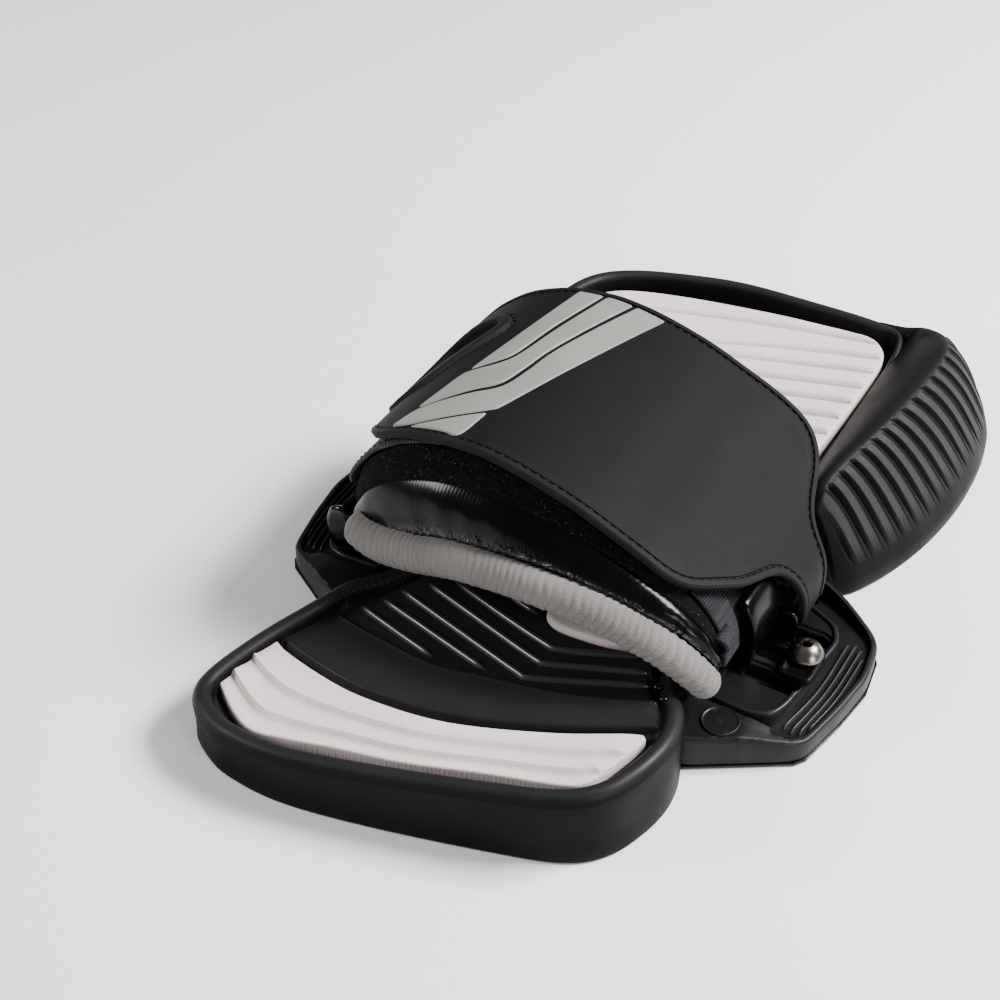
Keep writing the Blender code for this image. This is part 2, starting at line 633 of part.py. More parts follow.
# ================================================================ fasteners
WASHER_Z0 = CHASSIS_Z1 + 0.3
WASHER_T = 2.0
HEAD_Z0 = WASHER_Z0 + WASHER_T + 0.3
for side, word in ((1, "right"), (-1, "left")):
    cx = side * SCREW_X
    w = box(f"{word}_washer", (cx - 6.2, -12.0, WASHER_Z0),
            (cx + 6.2, 4.4, WASHER_Z0 + WASHER_T), NYLON_G, None, 0.5)
    apply_all(w)
    cut(w, [rod("cut_w", (cx, 0, 5), (cx, 0, 25), 3.3, None, 24, cutters)])
    home = Vector((cx, 0, WASHER_Z0)) * MM
    w.data.transform(Matrix.Translation(-home))
    w.location = home
    # dome head over a shank that reaches down to the board face
    prof = [(0.0, HEAD_Z0 + 5.2), (1.8, HEAD_Z0 + 5.0), (3.6, HEAD_Z0 + 4.2),
            (5.1, HEAD_Z0 + 2.8), (6.1, HEAD_Z0 + 1.2), (6.25, HEAD_Z0),
            (3.0, HEAD_Z0), (3.0, 0.8), (2.6, 0.4), (0.0, 0.4)]
    bm = bmesh.new()
    vv = [bm.verts.new(Vector((r, 0, z)) * MM) for r, z in prof]
    for a, b in zip(vv[:-1], vv[1:]):
        bm.edges.new((a, b))
    me = bpy.data.meshes.new(f"{word}_screw")
    bm.to_mesh(me)
    bm.free()
    s = bpy.data.objects.new(f"{word}_screw", me)
    parts.objects.link(s)
    me.materials.append(STEEL)
    m = s.modifiers.new("turn", 'SCREW')
    m.axis = 'Z'
    m.steps = m.render_steps = 24
    m.use_merge_vertices = True
    m.merge_threshold = 0.00005
    apply_all(s)
    bm = bmesh.new()
    bm.from_mesh(s.data)
    bmesh.ops.remove_doubles(bm, verts=bm.verts, dist=0.00002)
    bmesh.ops.recalc_face_normals(bm, faces=bm.faces)
    bm.to_mesh(s.data)
    bm.free()
    s.data.shade_smooth()
    s.data.set_sharp_from_angle(angle=math.radians(35))
    cut(s, [box("cut_x", (-3.0, -0.75, HEAD_Z0 + 2.2), (3.0, 0.75, 40), None,
                cutters),
            box("cut_y", (-0.75, -3.0, HEAD_Z0 + 2.2), (0.75, 3.0, 40), None,
                cutters)])
    s.location = (cx * MM, 0, 0)
    s.rotation_euler = (0, 0, math.radians(28 * side))

# ================================================================ strap cover
sleeve = [(HINGE[0] + SLEEVE_R * math.cos(a), HINGE[1] + SLEEVE_R * math.sin(a))
          for a in np.radians(np.arange(218, 361, 20.3))]
cover_path = np.array(sleeve + spline(COVER_PROFILE, 40).tolist())


def path_frames(path):
    d = np.gradient(path, axis=0)
    d /= np.linalg.norm(d, axis=1)[:, None]
    return np.stack([d[:, 1], -d[:, 0]], 1)         # outward when x decreases


def arc_of(path):
    return np.concatenate([[0], np.cumsum(np.linalg.norm(
        np.diff(path, axis=0), axis=1))])


cover_n = path_frames(cover_path)
cover_s = arc_of(cover_path)


def s_at_x(x, after=12.0):
    """Arc length where the upper part of the profile crosses x."""
    for i in range(len(cover_path) - 1):
        if cover_s[i] < after:
            continue
        a, b = cover_path[i, 0], cover_path[i + 1, 0]
        if (a - x) * (b - x) <= 0 and a != b:
            return cover_s[i] + (a - x) / (a - b) * (cover_s[i + 1] - cover_s[i])
    return cover_s[-1]


edge_s = [0.0] + [s_at_x(e[0], 9.0 + 1.5 * k)
                  for k, e in enumerate(COVER_EDGES[1:3])] \
    + [s_at_x(e[0]) for e in COVER_EDGES[3:]]
edge_s = list(np.maximum.accumulate(edge_s))
edge_s[-1] = cover_s[-1]


def cover_edges(s):
    return (float(np.interp(s, edge_s, [e[1] for e in COVER_EDGES])),
            float(np.interp(s, edge_s, [e[2] for e in COVER_EDGES])))


def on_cover(s, y, off=0.0):
    x = np.interp(s, cover_s, cover_path[:, 0])
    z = np.interp(s, cover_s, cover_path[:, 1])
    nx = np.interp(s, cover_s, cover_n[:, 0])
    nz = np.interp(s, cover_s, cover_n[:, 1])
    L = math.hypot(nx, nz)
    return (x + off * nx / L, y, z + off * nz / L)


COLS = 3
grid = []
for s in cover_s:
    y0, y1 = cover_edges(s)
    grid.append([on_cover(s, y0 + (y1 - y0) * j / COLS)
                 for j in range(COLS + 1)])
cover = sheet("strap_cover", grid, COVER_T, RUBBER)
apply_all(cover)

# finger hole near the free end, with a raised frame around it
S_END = cover_s[-1]
HOLE_SY = [(S_END - 14.5, 4), (S_END - 13, 20), (S_END - 14.5, 33),
           (S_END - 19, 39.5), (S_END - 30, 43), (S_END - 37.5, 43.5),
           (S_END - 41, 39.5), (S_END - 38, 32), (S_END - 31, 19),
           (S_END - 25, 7), (S_END - 19.5, 2.5)]
hole = spline(HOLE_SY, 30, closed=True)


def tube_between(name, loop, off0, off1, mat, col=None):
    return [[on_cover(s, y, off0) for s, y in loop],
            [on_cover(s, y, off1) for s, y in loop]]


lo, hi = tube_between("h", hole, -9, 6, None)
hole_cut = ring_solid("cut_finger", [lo, hi], None, 0, cutters)
cut(cover, [hole_cut])


def widen(loop, d):
    q = np.array(loop)
    area = 0.5 * np.sum(q[:, 0] * np.roll(q[:, 1], -1)
                        - np.roll(q[:, 0], -1) * q[:, 1])
    return inset(q, -d if area > 0 else d)


def frame_ring(name, inner_d, outer_d, off0, off1, mat):
    a, b = widen(hole, inner_d), widen(hole, outer_d)
    rings = [[on_cover(s, y, o) for s, y in lp]
             for lp, o in ((a, off0), (b, off0), (b, off1 - 0.5),
                           (widen(hole, outer_d - 0.6), off1),
                           (widen(hole, inner_d + 0.6), off1),
                           (a, off1 - 0.5))]
    bm = bmesh.new()
    vr = [[bm.verts.new(Vector(p) * MM) for p in r] for r in rings]
    m = len(vr[0])
    for k in range(len(vr)):
        p, q = vr[k], vr[(k + 1) % len(vr)]
        for i in range(m):
            bm.faces.new((p[i], p[(i + 1) % m], q[(i + 1) % m], q[i]))
    return from_bm(name, bm, mat, 35)


frame_ob = frame_ring("finger_frame", 0.4, 5.6, 0.35, 2.0, RUBBER)

# four grey bands on the free side of the cover: each is a strip between two
# bent lines given as (s, y) points
def band(name, line_a, line_b, n=11):
    a, b = spline(line_a, n), spline(line_b, n)
    g = [[on_cover(p[0] + (q[0] - p[0]) * t, p[1] + (q[1] - p[1]) * t, 1.0)
          for t in (0, 0.5, 1)] for p, q in zip(a, b)]
    return sheet(name, g, 0.6, GREY)


def sx(x):
    return s_at_x(x)


D0 = [(sx(-37), 63.5), (sx(-39), 40), (sx(-46.5), 12), (sx(-53), -9),
      (sx(-59.5), -22)]
D1 = [(sx(-18.5), 64.5), (sx(-24), 33), (sx(-30), 10), (sx(-38), 2),
      (sx(-49), 3.5)]
D2 = [(sx(-7), 65), (sx(-14), 35), (sx(-21), 8), (sx(-30), -9), (sx(-43), -15),
      (sx(-56.5), -15)]
D3 = [(sx(1), 65), (sx(-9), 32), (sx(-19), 4), (sx(-24.5), -8),
      (sx(-36), -20), (sx(-59), -25.5)]


def part_way(line, t0, t1, n=11):
    """The stretch of a line between two fractions of its length."""
    q = spline(line, 81)
    return spline(q[int(80 * t0):int(80 * t1) + 1:4], n)


def shifted(line, ds, dy=0.0):
    return [(p[0] + ds, p[1] + dy) for p in line]


band("stripe_1", shifted(D1, 0.6), part_way(D0, 0, 0.70))
band("stripe_2", shifted(D2, 0.6), shifted(D1[:-1] + [(sx(-52.5), -9)], -0.5,
                                           -0.6))
band("stripe_3", shifted(D3, 0.6), shifted(D2[:-1] + [(sx(-58), -19.5)], -0.5,
                                           -0.6))
band("stripe_4", [(sx(-26.5), -12.5), (sx(-32), -22), (sx(-38.5), -31.5)],
     [(sx(-28.5), -14.5), (sx(-40), -24.5), (sx(-58), -28)])

# hook patch under the free end
g = []
for s in np.linspace(S_END - 98, S_END - 50, 12):
    y0, y1 = cover_edges(s)
    g.append([on_cover(s, y, -COVER_T - GAP) for y in (y0 + 8, y1 - 10)])
sheet("hook_patch", g, HOOK_T, LOOP)

# ================================================================ under strap
def liner_toe(x):
    """Toe-side edge of the liner."""
    return float(np.interp(x, [-72, -60, -30, 30, 44, 54, 60, 63.5, 66],
                           [50, 57.5, 61, 62, 60, 50, 38, 30, 26]))


MESH_OFF = -(COVER_T + 2 * GAP + HOOK_T) - 0.4
long_path = np.array(COVER_PROFILE[7:] + [(-84.0, 38.5)])
lp = spline(long_path, 38)
lp_n = path_frames(lp)
mesh_path = lp + MESH_OFF * lp_n
grid = []
for x, z in mesh_path:
    if x > 46:
        continue
    low = smoothstep(58, 36, z) if x < 0 else 0.0
    y1 = min(60, liner_toe(x) - 1.0) - 12.5 * low
    y0 = -30.3 + 3.5 * low
    grid.append([(x, y0 + (y1 - y0) * j / 3, z) for j in range(4)])
under_strap = sheet("under_strap", grid, MESH_T, MESH)
apply_all(under_strap)
notch = prism("cut_notch", [(-100, 5.5), (-60, 5.5), (-60, 16.5), (-100, 16.5)],
              20, 53, None, 0, cutters)
h2a = [on_cover(s, y, -9) for s, y in widen(hole, 1.5)]
h2b = [on_cover(s, y, -1) for s, y in widen(hole, 1.5)]
cut(under_strap, [notch, ring_solid("cut_f2", [h2a, h2b], None, 0, cutters)])

# leg straps that loop round the inner bars
leg = [(p[0] - (MESH_T + 0.4) * n[0], p[1] - (MESH_T + 0.4) * n[1])
       for p, n in zip(mesh_path, lp_n) if p[0] < 0 and p[1] < 57]
leg = leg[::2]
leg[-1] = (leg[-1][0] + 0.6, leg[-1][1] - 2.0)
leg.append((-81.9, 30.0))
arc = [(LBAR[0] + 4.1 * math.cos(a), LBAR[1] + 4.1 * math.sin(a))
       for a in np.radians(np.arange(170, 361 + 10, 22))]
tail = [(-74.8, 29.0), (-75.4, 32.5)]
leg_path = spline(leg, 9).tolist() + arc + tail
for word, (a, b) in LEG_Y.items():
    g = [[(x, y, z) for y in (a, b)] for x, z in leg_path]
    sheet(f"{word}_leg_strap", g, 1.5, LOOP)

# ================================================================ liner
liner = spline(LINER_PROFILE, 34)
liner_n = path_frames(liner)
roll = spline(ROLL_PATH, 34)


def bez(a, b, c, t):
    return (1 - t) ** 2 * a + 2 * t * (1 - t) * b + t * t * c


def lip_point(i, w, off=0.0):
    """w = 0 on the main sheet, 1 at the rolled edge."""
    t = i / 33
    a = np.array([liner[i, 0], -28.5, liner[i, 1]])
    r = roll[i]
    out = np.array([liner_n[i, 0], 0, liner_n[i, 1]])
    d = a + out * 0.2 * np.linalg.norm(a - r) - r
    e = r + d / np.linalg.norm(d) * (ROLL_R + 0.6)
    span = np.linalg.norm(a - e)
    mid = (a + e) / 2 + out * 0.2 * span + np.array([0, -0.12 * span, 0])
    p = bez(a, mid, e, w)
    tan = bez(a, mid, e, min(1, w + 0.02)) - bez(a, mid, e, max(0, w - 0.02))
    tan /= np.linalg.norm(tan)
    nrm = out - tan * np.dot(out, tan)
    nrm = nrm + np.array([0, -1.0, 0]) * w * 0.6
    nrm -= tan * np.dot(nrm, tan)
    nrm /= np.linalg.norm(nrm)
    return p + off * nrm


grid = []
for i in range(34):
    row = [tuple(lip_point(i, w)) for w in (1.0, 0.8, 0.6, 0.4, 0.2)]
    y1 = liner_toe(liner[i, 0])
    for j in range(4):
        row.append((liner[i, 0], -28.5 + (y1 + 28.5) * j / 3, liner[i, 1]))
    grid.append(row)
liner_ob = sheet("strap_liner", grid, LINER_T, FOAM)
apply_all(liner_ob)
cut(liner_ob, [box("cut_window", (-90, 0, 20), (-58, 26, 56), None, cutters)])

g = [[tuple(lip_point(i, w, 0.4 + 1.2)) for w in (0.46, 0.3, 0.14)]
     for i in range(3, 31)]
sheet("loop_band", g, 1.2, LOOP)
g = [[tuple(lip_point(i, w, 0.4 + 0.8)) for w in (0.97, 0.75, 0.5)]
     for i in range(3, 32)]
facing_ob = sheet("lip_facing", g, 0.8, VINYL)


def cord_tube(name, pts, r, mat, n=26, col=None):
    cu = bpy.data.curves.new(name, 'CURVE')
    cu.dimensions = '3D'
    cu.bevel_depth = r * MM
    cu.bevel_resolution = 3
    cu.use_fill_caps = True
    sp = cu.splines.new('POLY')
    q = spline(pts, n)
    sp.points.add(len(q) - 1)
    for p, v in zip(sp.points, q):
        p.co = (v[0] * MM, v[1] * MM, v[2] * MM, 1)
    o = bpy.data.objects.new(name, cu)
    (col or parts).objects.link(o)
    if mat:
        cu.materials.append(mat)
    if col is cutters:
        dg = bpy.context.evaluated_depsgraph_get()
        me = bpy.data.meshes.new_from_object(o.evaluated_get(dg))
        bpy.data.objects.remove(o, do_unlink=True)
        bm = bmesh.new()
        bm.from_mesh(me)
        bmesh.ops.remove_doubles(bm, verts=bm.verts, dist=1e-6)
        return from_bm(name, bm, None, 0, cutters)
    return o


cord_tube("heel_piping", ROLL_PATH, ROLL_R, TWILL)
toe_roll = []
for i in range(1, 33, 2):
    n2 = liner_n[i]
    toe_roll.append((liner[i, 0] - 2.0 * n2[0],
                     liner_toe(liner[i, 0]) + TOE_ROLL_R + 0.6,
                     liner[i, 1] - 2.0 * n2[1]))
cord_tube("toe_piping", toe_roll, TOE_ROLL_R, TWILL, 26)
seat = [cord_tube("cut_roll_h", ROLL_PATH, ROLL_R + GAP, None, 26, cutters),
        cord_tube("cut_roll_t", toe_roll, TOE_ROLL_R + GAP, None, 26, cutters)]
cut(liner_ob, seat, keep=True)
apply_all(facing_ob)
cut(facing_ob, seat[:1])
bpy.data.objects.remove(seat[1], do_unlink=True)

# webbing tab sewn on the outer end of the liner, heel side
g = []
for i in [k for k in range(1, 12) if liner[k, 0] > 51.5]:
    p = liner[i] + (0.4 + 1.5) * liner_n[i]
    g.append([(p[0], y, p[1]) for y in (-27.5, -22, -16.5)])
sheet("webbing_tab", g, 1.5, WEBBING)

# ================================================================ cover pivot
# everything that peels open with the cover hangs from an empty on the hinge
pivot = bpy.data.objects.new("cover_pivot", None)
pivot.location = Vector((HINGE[0], 18.4, HINGE[1])) * MM
pivot.empty_display_size = 0.02
parts.objects.link(pivot)
for name in ("strap_cover", "stripe_1", "stripe_2", "stripe_3", "stripe_4",
             "finger_frame", "hook_patch"):
    ob = bpy.data.objects[name]
    ob.parent = pivot
    ob.matrix_parent_inverse = Matrix.Translation(-pivot.location)
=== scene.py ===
import math
import bpy
import bmesh
import numpy as np
from mathutils import Vector, Matrix
from mathutils.geometry import delaunay_2d_cdt


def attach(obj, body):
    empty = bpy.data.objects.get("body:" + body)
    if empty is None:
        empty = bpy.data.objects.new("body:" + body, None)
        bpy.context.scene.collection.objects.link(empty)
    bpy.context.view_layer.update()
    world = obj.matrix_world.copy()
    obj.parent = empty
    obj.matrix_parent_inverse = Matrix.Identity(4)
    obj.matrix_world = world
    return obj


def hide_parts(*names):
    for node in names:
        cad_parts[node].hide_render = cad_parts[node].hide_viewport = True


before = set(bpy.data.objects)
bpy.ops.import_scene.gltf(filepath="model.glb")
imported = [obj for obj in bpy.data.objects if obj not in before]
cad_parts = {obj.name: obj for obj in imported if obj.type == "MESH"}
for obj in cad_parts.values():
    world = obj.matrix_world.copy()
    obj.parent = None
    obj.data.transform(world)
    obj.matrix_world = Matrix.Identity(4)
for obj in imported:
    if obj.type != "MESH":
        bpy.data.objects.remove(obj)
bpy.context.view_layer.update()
MM = 0.001
PAD_BODY, COVER_BODY = "pad_assembly", "cover"
RNG = np.random.default_rng(11)


# =================================================================== helpers
def smoothstep(a, b, t):
    t = np.clip((np.asarray(t, float) - a) / (b - a), 0, 1)
    return t * t * (3 - 2 * t)


def spline(pts, n, closed=False):
    p = np.array(pts, float)
    m = len(p)
    fine = []
    for i in range(m if closed else m - 1):
        if closed:
            a, b, c, d = p[(i - 1) % m], p[i], p[(i + 1) % m], p[(i + 2) % m]
        else:
            b, c = p[i], p[i + 1]
            a = p[i - 1] if i > 0 else 2 * b - c
            d = p[i + 2] if i + 2 < m else 2 * c - b
        for t in np.linspace(0, 1, 16, endpoint=False):
            fine.append(0.5 * (2 * b + (c - a) * t + (2 * a - 5 * b + 4 * c - d)
                               * t * t + (3 * b - a - 3 * c + d) * t ** 3))
    fine.append(p[0] if closed else p[-1])
    fine = np.array(fine)
    arc = np.concatenate([[0], np.cumsum(np.linalg.norm(np.diff(fine, axis=0),
                                                        axis=1))])
    want = np.linspace(0, arc[-1], n + 1 if closed else n)
    out = np.stack([np.interp(want, arc, fine[:, k])
                    for k in range(p.shape[1])], axis=1)
    return out[:-1] if closed else out


def resample(loop, step):
    """Even points on a closed polygon."""
    p = np.asarray(loop, float)
    q = np.vstack([p, p[:1]])
    arc = np.concatenate([[0], np.cumsum(np.linalg.norm(np.diff(q, axis=0), axis=1))])
    n = max(8, int(round(arc[-1] / step)))
    want = np.linspace(0, arc[-1], n, endpoint=False)
    return np.stack([np.interp(want, arc, q[:, k]) for k in range(q.shape[1])], 1)


def soften(loop, passes, keep=None):
    """Round the corners of a closed loop of even points."""
    q = np.asarray(loop, float).copy()
    for _ in range(passes):
        r = 0.25 * np.roll(q, 1, 0) + 0.5 * q + 0.25 * np.roll(q, -1, 0)
        if keep is not None:
            r[keep] = q[keep]
        q = r
    return q


def area(loop):
    q = np.asarray(loop, float)
    x, y = q[:, 0], q[:, 1]
    return 0.5 * float(np.sum(x * np.roll(y, -1) - np.roll(x, -1) * y))


def ccw(loop):
    q = np.asarray(loop, float)
    return q if area(q) > 0 else q[::-1]


def inset(loop, d):
    q = ccw(np.asarray(loop, float)[:, :2])
    e = np.roll(q, -1, 0) - np.roll(q, 1, 0)
    e /= np.linalg.norm(e, axis=1)[:, None] + 1e-12
    d = np.broadcast_to(d, len(q))[:, None]
    return q + d * np.stack([-e[:, 1], e[:, 0]], 1)


def seg_dist(pts, loop, closed=True):
    """Distance of each point to a polyline, and the position along it."""
    p = np.asarray(pts, float)[:, :2]
    a = np.asarray(loop, float)[:, :2]
    b = np.roll(a, -1, 0) if closed else a[1:]
    a = a if closed else a[:-1]
    arc = np.concatenate([[0], np.cumsum(np.linalg.norm(b - a, axis=1))])
    best = np.full(len(p), 1e9)
    pos = np.zeros(len(p))
    for i in range(0, len(p), 4000):
        blk = p[i:i + 4000]
        ab = b - a
        L = (ab ** 2).sum(1) + 1e-12
        t = np.clip(((blk[:, None, :] - a[None]) * ab[None]).sum(2) / L[None], 0, 1)
        near = a[None] + t[..., None] * ab[None]
        d = np.linalg.norm(blk[:, None, :] - near, axis=2)
        k = d.argmin(1)
        r = np.arange(len(blk))
        best[i:i + 4000] = d[r, k]
        pos[i:i + 4000] = arc[k] + t[r, k] * np.sqrt(L[k])
    return best, pos


def inside(pts, loop):
    p = np.asarray(pts, float)
    q = np.asarray(loop, float)
    c = np.zeros(len(p), bool)
    x0, y0 = q[:, 0], q[:, 1]
    x1, y1 = np.roll(x0, 1), np.roll(y0, 1)
    for i in range(len(q)):
        if y0[i] == y1[i]:
            continue
        hit = ((y0[i] > p[:, 1]) != (y1[i] > p[:, 1])) & (
            p[:, 0] < (x1[i] - x0[i]) * (p[:, 1] - y0[i]) / (y1[i] - y0[i]) + x0[i])
        c ^= hit
    return c


def mesh_obj(name, verts, faces, mat, sharp=None, subsurf=0):
    me = bpy.data.meshes.new(name)
    me.from_pydata([tuple(float(c) * MM for c in v) for v in verts], [],
                   [tuple(int(i) for i in f) for f in faces])
    bm = bmesh.new()
    bm.from_mesh(me)
    bmesh.ops.recalc_face_normals(bm, faces=bm.faces)
    bm.to_mesh(me)
    bm.free()
    ob = bpy.data.objects.new(name, me)
    bpy.context.scene.collection.objects.link(ob)
    if mat:
        me.materials.append(mat)
    me.shade_smooth()
    if sharp:
        me.set_sharp_from_angle(angle=math.radians(sharp))
    if subsurf:
        m = ob.modifiers.new("sub", 'SUBSURF')
        m.levels = m.render_levels = subsurf
    return ob


def triangulate(outer, holes=(), guides=(), step=3.0, clear=0.55, lines=()):
    """Constrained triangles of a plan region. Returns points and triangles."""
    loops = [np.asarray(outer, float)] + [np.asarray(h, float) for h in holes] \
        + [np.asarray(g, float) for g in guides]
    pts, edges = [], []
    for lp in loops:
        k = len(pts)
        pts += [tuple(p[:2]) for p in lp]
        edges += [(k + i, k + (i + 1) % len(lp)) for i in range(len(lp))]
    # open guide lines, clipped to the region
    kept = []
    for ln in lines:
        ln = np.asarray(ln, float)[:, :2]
        ok = inside(ln, loops[0])
        for h in holes:
            ok &= ~inside(ln, h)
        for lp in loops[:1 + len(holes)]:
            ok &= seg_dist(ln, lp)[0] > 0.35
        for i in range(len(ln)):
            if not ok[i]:
                continue
            k = len(pts)
            pts.append(tuple(ln[i]))
            if i and ok[i - 1]:
                edges.append((k - 1, k))
        kept.append(ln[ok])
    lo, hi = loops[0].min(0), loops[0].max(0)
    xs = np.arange(lo[0] + step / 2, hi[0], step)
    ys = np.arange(lo[1] + step / 2, hi[1], step * 0.866)
    gx, gy = np.meshgrid(xs, ys)
    gx = gx + (np.arange(len(ys)) % 2)[:, None] * step / 2
    seeds = np.stack([gx.ravel(), gy.ravel()], 1)
    ok = inside(seeds, loops[0])
    for h in holes:
        ok &= ~inside(seeds, h)
    seeds = seeds[ok]
    for lp in loops:
        if len(seeds):
            d, _ = seg_dist(seeds, lp)
            seeds = seeds[d > clear * step]
    for ln in kept:
        if len(seeds) and len(ln) > 1:
            d, _ = seg_dist(seeds, ln, closed=False)
            seeds = seeds[d > clear * step * 0.8]
    pts += [tuple(s) for s in seeds]
    vs, es, fs, ov, oe, of_ = delaunay_2d_cdt([Vector(p) for p in pts], edges, [],
                                              0, 1e-5)
    P = np.array([(v.x, v.y) for v in vs])
    F = np.array([f for f in fs if len(f) == 3])
    cen = P[F].mean(1)
    ok = inside(cen, loops[0])
    for h in holes:
        ok &= ~inside(cen, h)
    return P, F[ok]


def shell(name, outer, top, bot, mat, holes=(), guides=(), step=3.0, sharp=40, lines=()):
    """Closed solid over a plan region: top(P) and bot(P) give the 3-D points."""
    P, F = triangulate(ccw(outer), holes, guides, step, lines=lines)
    used = np.unique(F)
    remap = -np.ones(len(P), int)
    remap[used] = np.arange(len(used))
    P, F = P[used], remap[F]
    n = len(P)
    T, B = np.asarray(top(P)), np.asarray(bot(P))
    cnt = {}
    for f in F:
        for a, b in ((f[0], f[1]), (f[1], f[2]), (f[2], f[0])):
            cnt[(a, b)] = cnt.get((a, b), 0) + 1
    rim = [(a, b) for (a, b) in cnt if (b, a) not in cnt]
    faces = [tuple(f) for f in F] + [tuple(n + i for i in f[::-1]) for f in F] \
        + [(b, a, n + a, n + b) for a, b in rim]
    return mesh_obj(name, np.vstack([T, B]), faces, mat, sharp)


def loft(name, rings, mat, closed_ring=True, caps=True, sharp=None, subsurf=0):
    verts, faces = [], []
    m = len(rings[0])
    for r in rings:
        verts += [tuple(p) for p in r]
    for i in range(len(rings) - 1):
        for j in range(m if closed_ring else m - 1):
            a, b = i * m + j, i * m + (j + 1) % m
            faces.append((a, b, b + m, a + m))
    if caps:
        for r, base in ((rings[0], 0), (rings[-1], (len(rings) - 1) * m)):
            c = len(verts)
            verts.append(tuple(np.mean(np.asarray(r, float), 0)))
            for j in range(m):
                faces.append((base + j, base + (j + 1) % m, c))
    return mesh_obj(name, verts, faces, mat, sharp, subsurf)


def tube(name, path, radius, mat, seg=16, caps=True, ripple=None, flat=1.0, sharp=None,
         up=(0, 0, 1)):
    """Tube along a path; radius is a number or one per point; ripple(i, a)
    adds to the radius at a ring's angle."""
    p = np.asarray(path, float)
    t = np.gradient(p, axis=0)
    t /= np.linalg.norm(t, axis=1)[:, None]
    r = np.broadcast_to(radius, len(p))
    ref = np.array(up, float)
    rings = []
    for i in range(len(p)):
        side = np.cross(t[i], ref)
        side /= np.linalg.norm(side) + 1e-9
        nn = np.cross(side, t[i])
        ring = []
        for k in range(seg):
            a = 2 * math.pi * k / seg
            rr = r[i] + (ripple(i, a) if ripple else 0.0)
            ring.append(p[i] + rr * (math.cos(a) * side + flat * math.sin(a) * nn))
        rings.append(ring)
    return loft(name, rings, mat, caps=caps, sharp=sharp)


def join(name, obs):
    bpy.ops.object.select_all(action='DESELECT')
    for o in obs:
        o.select_set(True)
    bpy.context.view_layer.objects.active = obs[0]
    bpy.ops.object.join()
    obs[0].name = name
    obs[0].data.name = name
    return obs[0]


def put(ob, body, slot, *nodes):
    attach(ob, body)
    if nodes:
        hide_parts(*nodes)
    return ob


def dashes(name, path3, normals, mat, length=2.3, gap=1.1, width=0.45, height=0.35):
    """Stitches: small rounded beads along a 3-D path (mm)."""
    p = np.asarray(path3, float)
    nrm = np.asarray(normals, float)
    arc = np.concatenate([[0], np.cumsum(np.linalg.norm(np.diff(p, axis=0), axis=1))])
    verts, faces = [], []
    s = gap
    while s + length < arc[-1]:
        q = np.linspace(s, s + length, 5)
        c = np.stack([np.interp(q, arc, p[:, k]) for k in range(3)], 1)
        nn = np.stack([np.interp(q, arc, nrm[:, k]) for k in range(3)], 1)
        nn /= np.linalg.norm(nn, axis=1)[:, None]
        t = np.gradient(c, axis=0)
        t /= np.linalg.norm(t, axis=1)[:, None] + 1e-9
        side = np.cross(t, nn)
        prof = [0.35, 0.9, 1.0, 0.9, 0.35]
        lift = [-0.25, 0.05, 0.12, 0.05, -0.25]
        base = len(verts)
        for i in range(5):
            for k in range(8):
                a = 2 * math.pi * k / 8
                verts.append(c[i] + nn[i] * (lift[i] + height * prof[i] * math.sin(a))
                             + side[i] * (width * prof[i] * math.cos(a)))
        for i in range(4):
            for k in range(8):
                a, b = base + i * 8 + k, base + i * 8 + (k + 1) % 8
                faces.append((a, b, b + 8, a + 8))
        faces.append(tuple(base + k for k in range(8)))
        faces.append(tuple(base + 32 + k for k in range(8)))
        s += length + gap
    return mesh_obj(name, verts, faces, mat)


# ================================================================ materials
def nodes_of(name):
    m = bpy.data.materials.new(name)
    m.use_nodes = True
    nt = m.node_tree
    return m, nt, nt.nodes["Principled BSDF"]


def link(nt, a, b):
    nt.links.new(a, b)


def add(nt, kind, **kw):
    n = nt.nodes.new(kind)
    for k, v in kw.items():
        setattr(n, k, v)
    return n


def coords(nt, scale=(1, 1, 1), rot=(0, 0, 0)):
    tc = add(nt, 'ShaderNodeTexCoord')
    mp = add(nt, 'ShaderNodeMapping')
    mp.inputs['Scale'].default_value = scale
    mp.inputs['Rotation'].default_value = rot
    link(nt, tc.outputs['Object'], mp.inputs['Vector'])
    return mp.outputs['Vector']


def noise(nt, vec, scale, detail=3, rough=0.5):
    n = add(nt, 'ShaderNodeTexNoise')
    n.inputs['Scale'].default_value = scale
    n.inputs['Detail'].default_value = detail
    n.inputs['Roughness'].default_value = rough
    if vec is not None:
        link(nt, vec, n.inputs['Vector'])
    return n.outputs['Fac']


def ramp(nt, fac, stops):
    r = add(nt, 'ShaderNodeValToRGB')
    el = r.color_ramp.elements
    el[0].position, el[0].color = stops[0][0], (*stops[0][1], 1)
    el[1].position, el[1].color = stops[-1][0], (*stops[-1][1], 1)
    for pos, col in stops[1:-1]:
        e = el.new(pos)
        e.color = (*col, 1)
    link(nt, fac, r.inputs['Fac'])
    return r.outputs['Color']


def math_node(nt, op, a, b=None, c=None):
    n = add(nt, 'ShaderNodeMath', operation=op)
    for i, v in enumerate((a, b, c)):
        if v is None:
            continue
        if isinstance(v, (int, float)):
            n.inputs[i].default_value = v
        else:
            link(nt, v, n.inputs[i])
    return n.outputs[0]


def mix_col(nt, fac, a, b):
    n = add(nt, 'ShaderNodeMix', data_type='RGBA')
    if isinstance(fac, (int, float)):
        n.inputs['Factor'].default_value = fac
    else:
        link(nt, fac, n.inputs['Factor'])
    for sock, v in ((n.inputs['A'], a), (n.inputs['B'], b)):
        if isinstance(v, tuple):
            sock.default_value = (*v, 1)
        else:
            link(nt, v, sock)
    return n.outputs['Result']


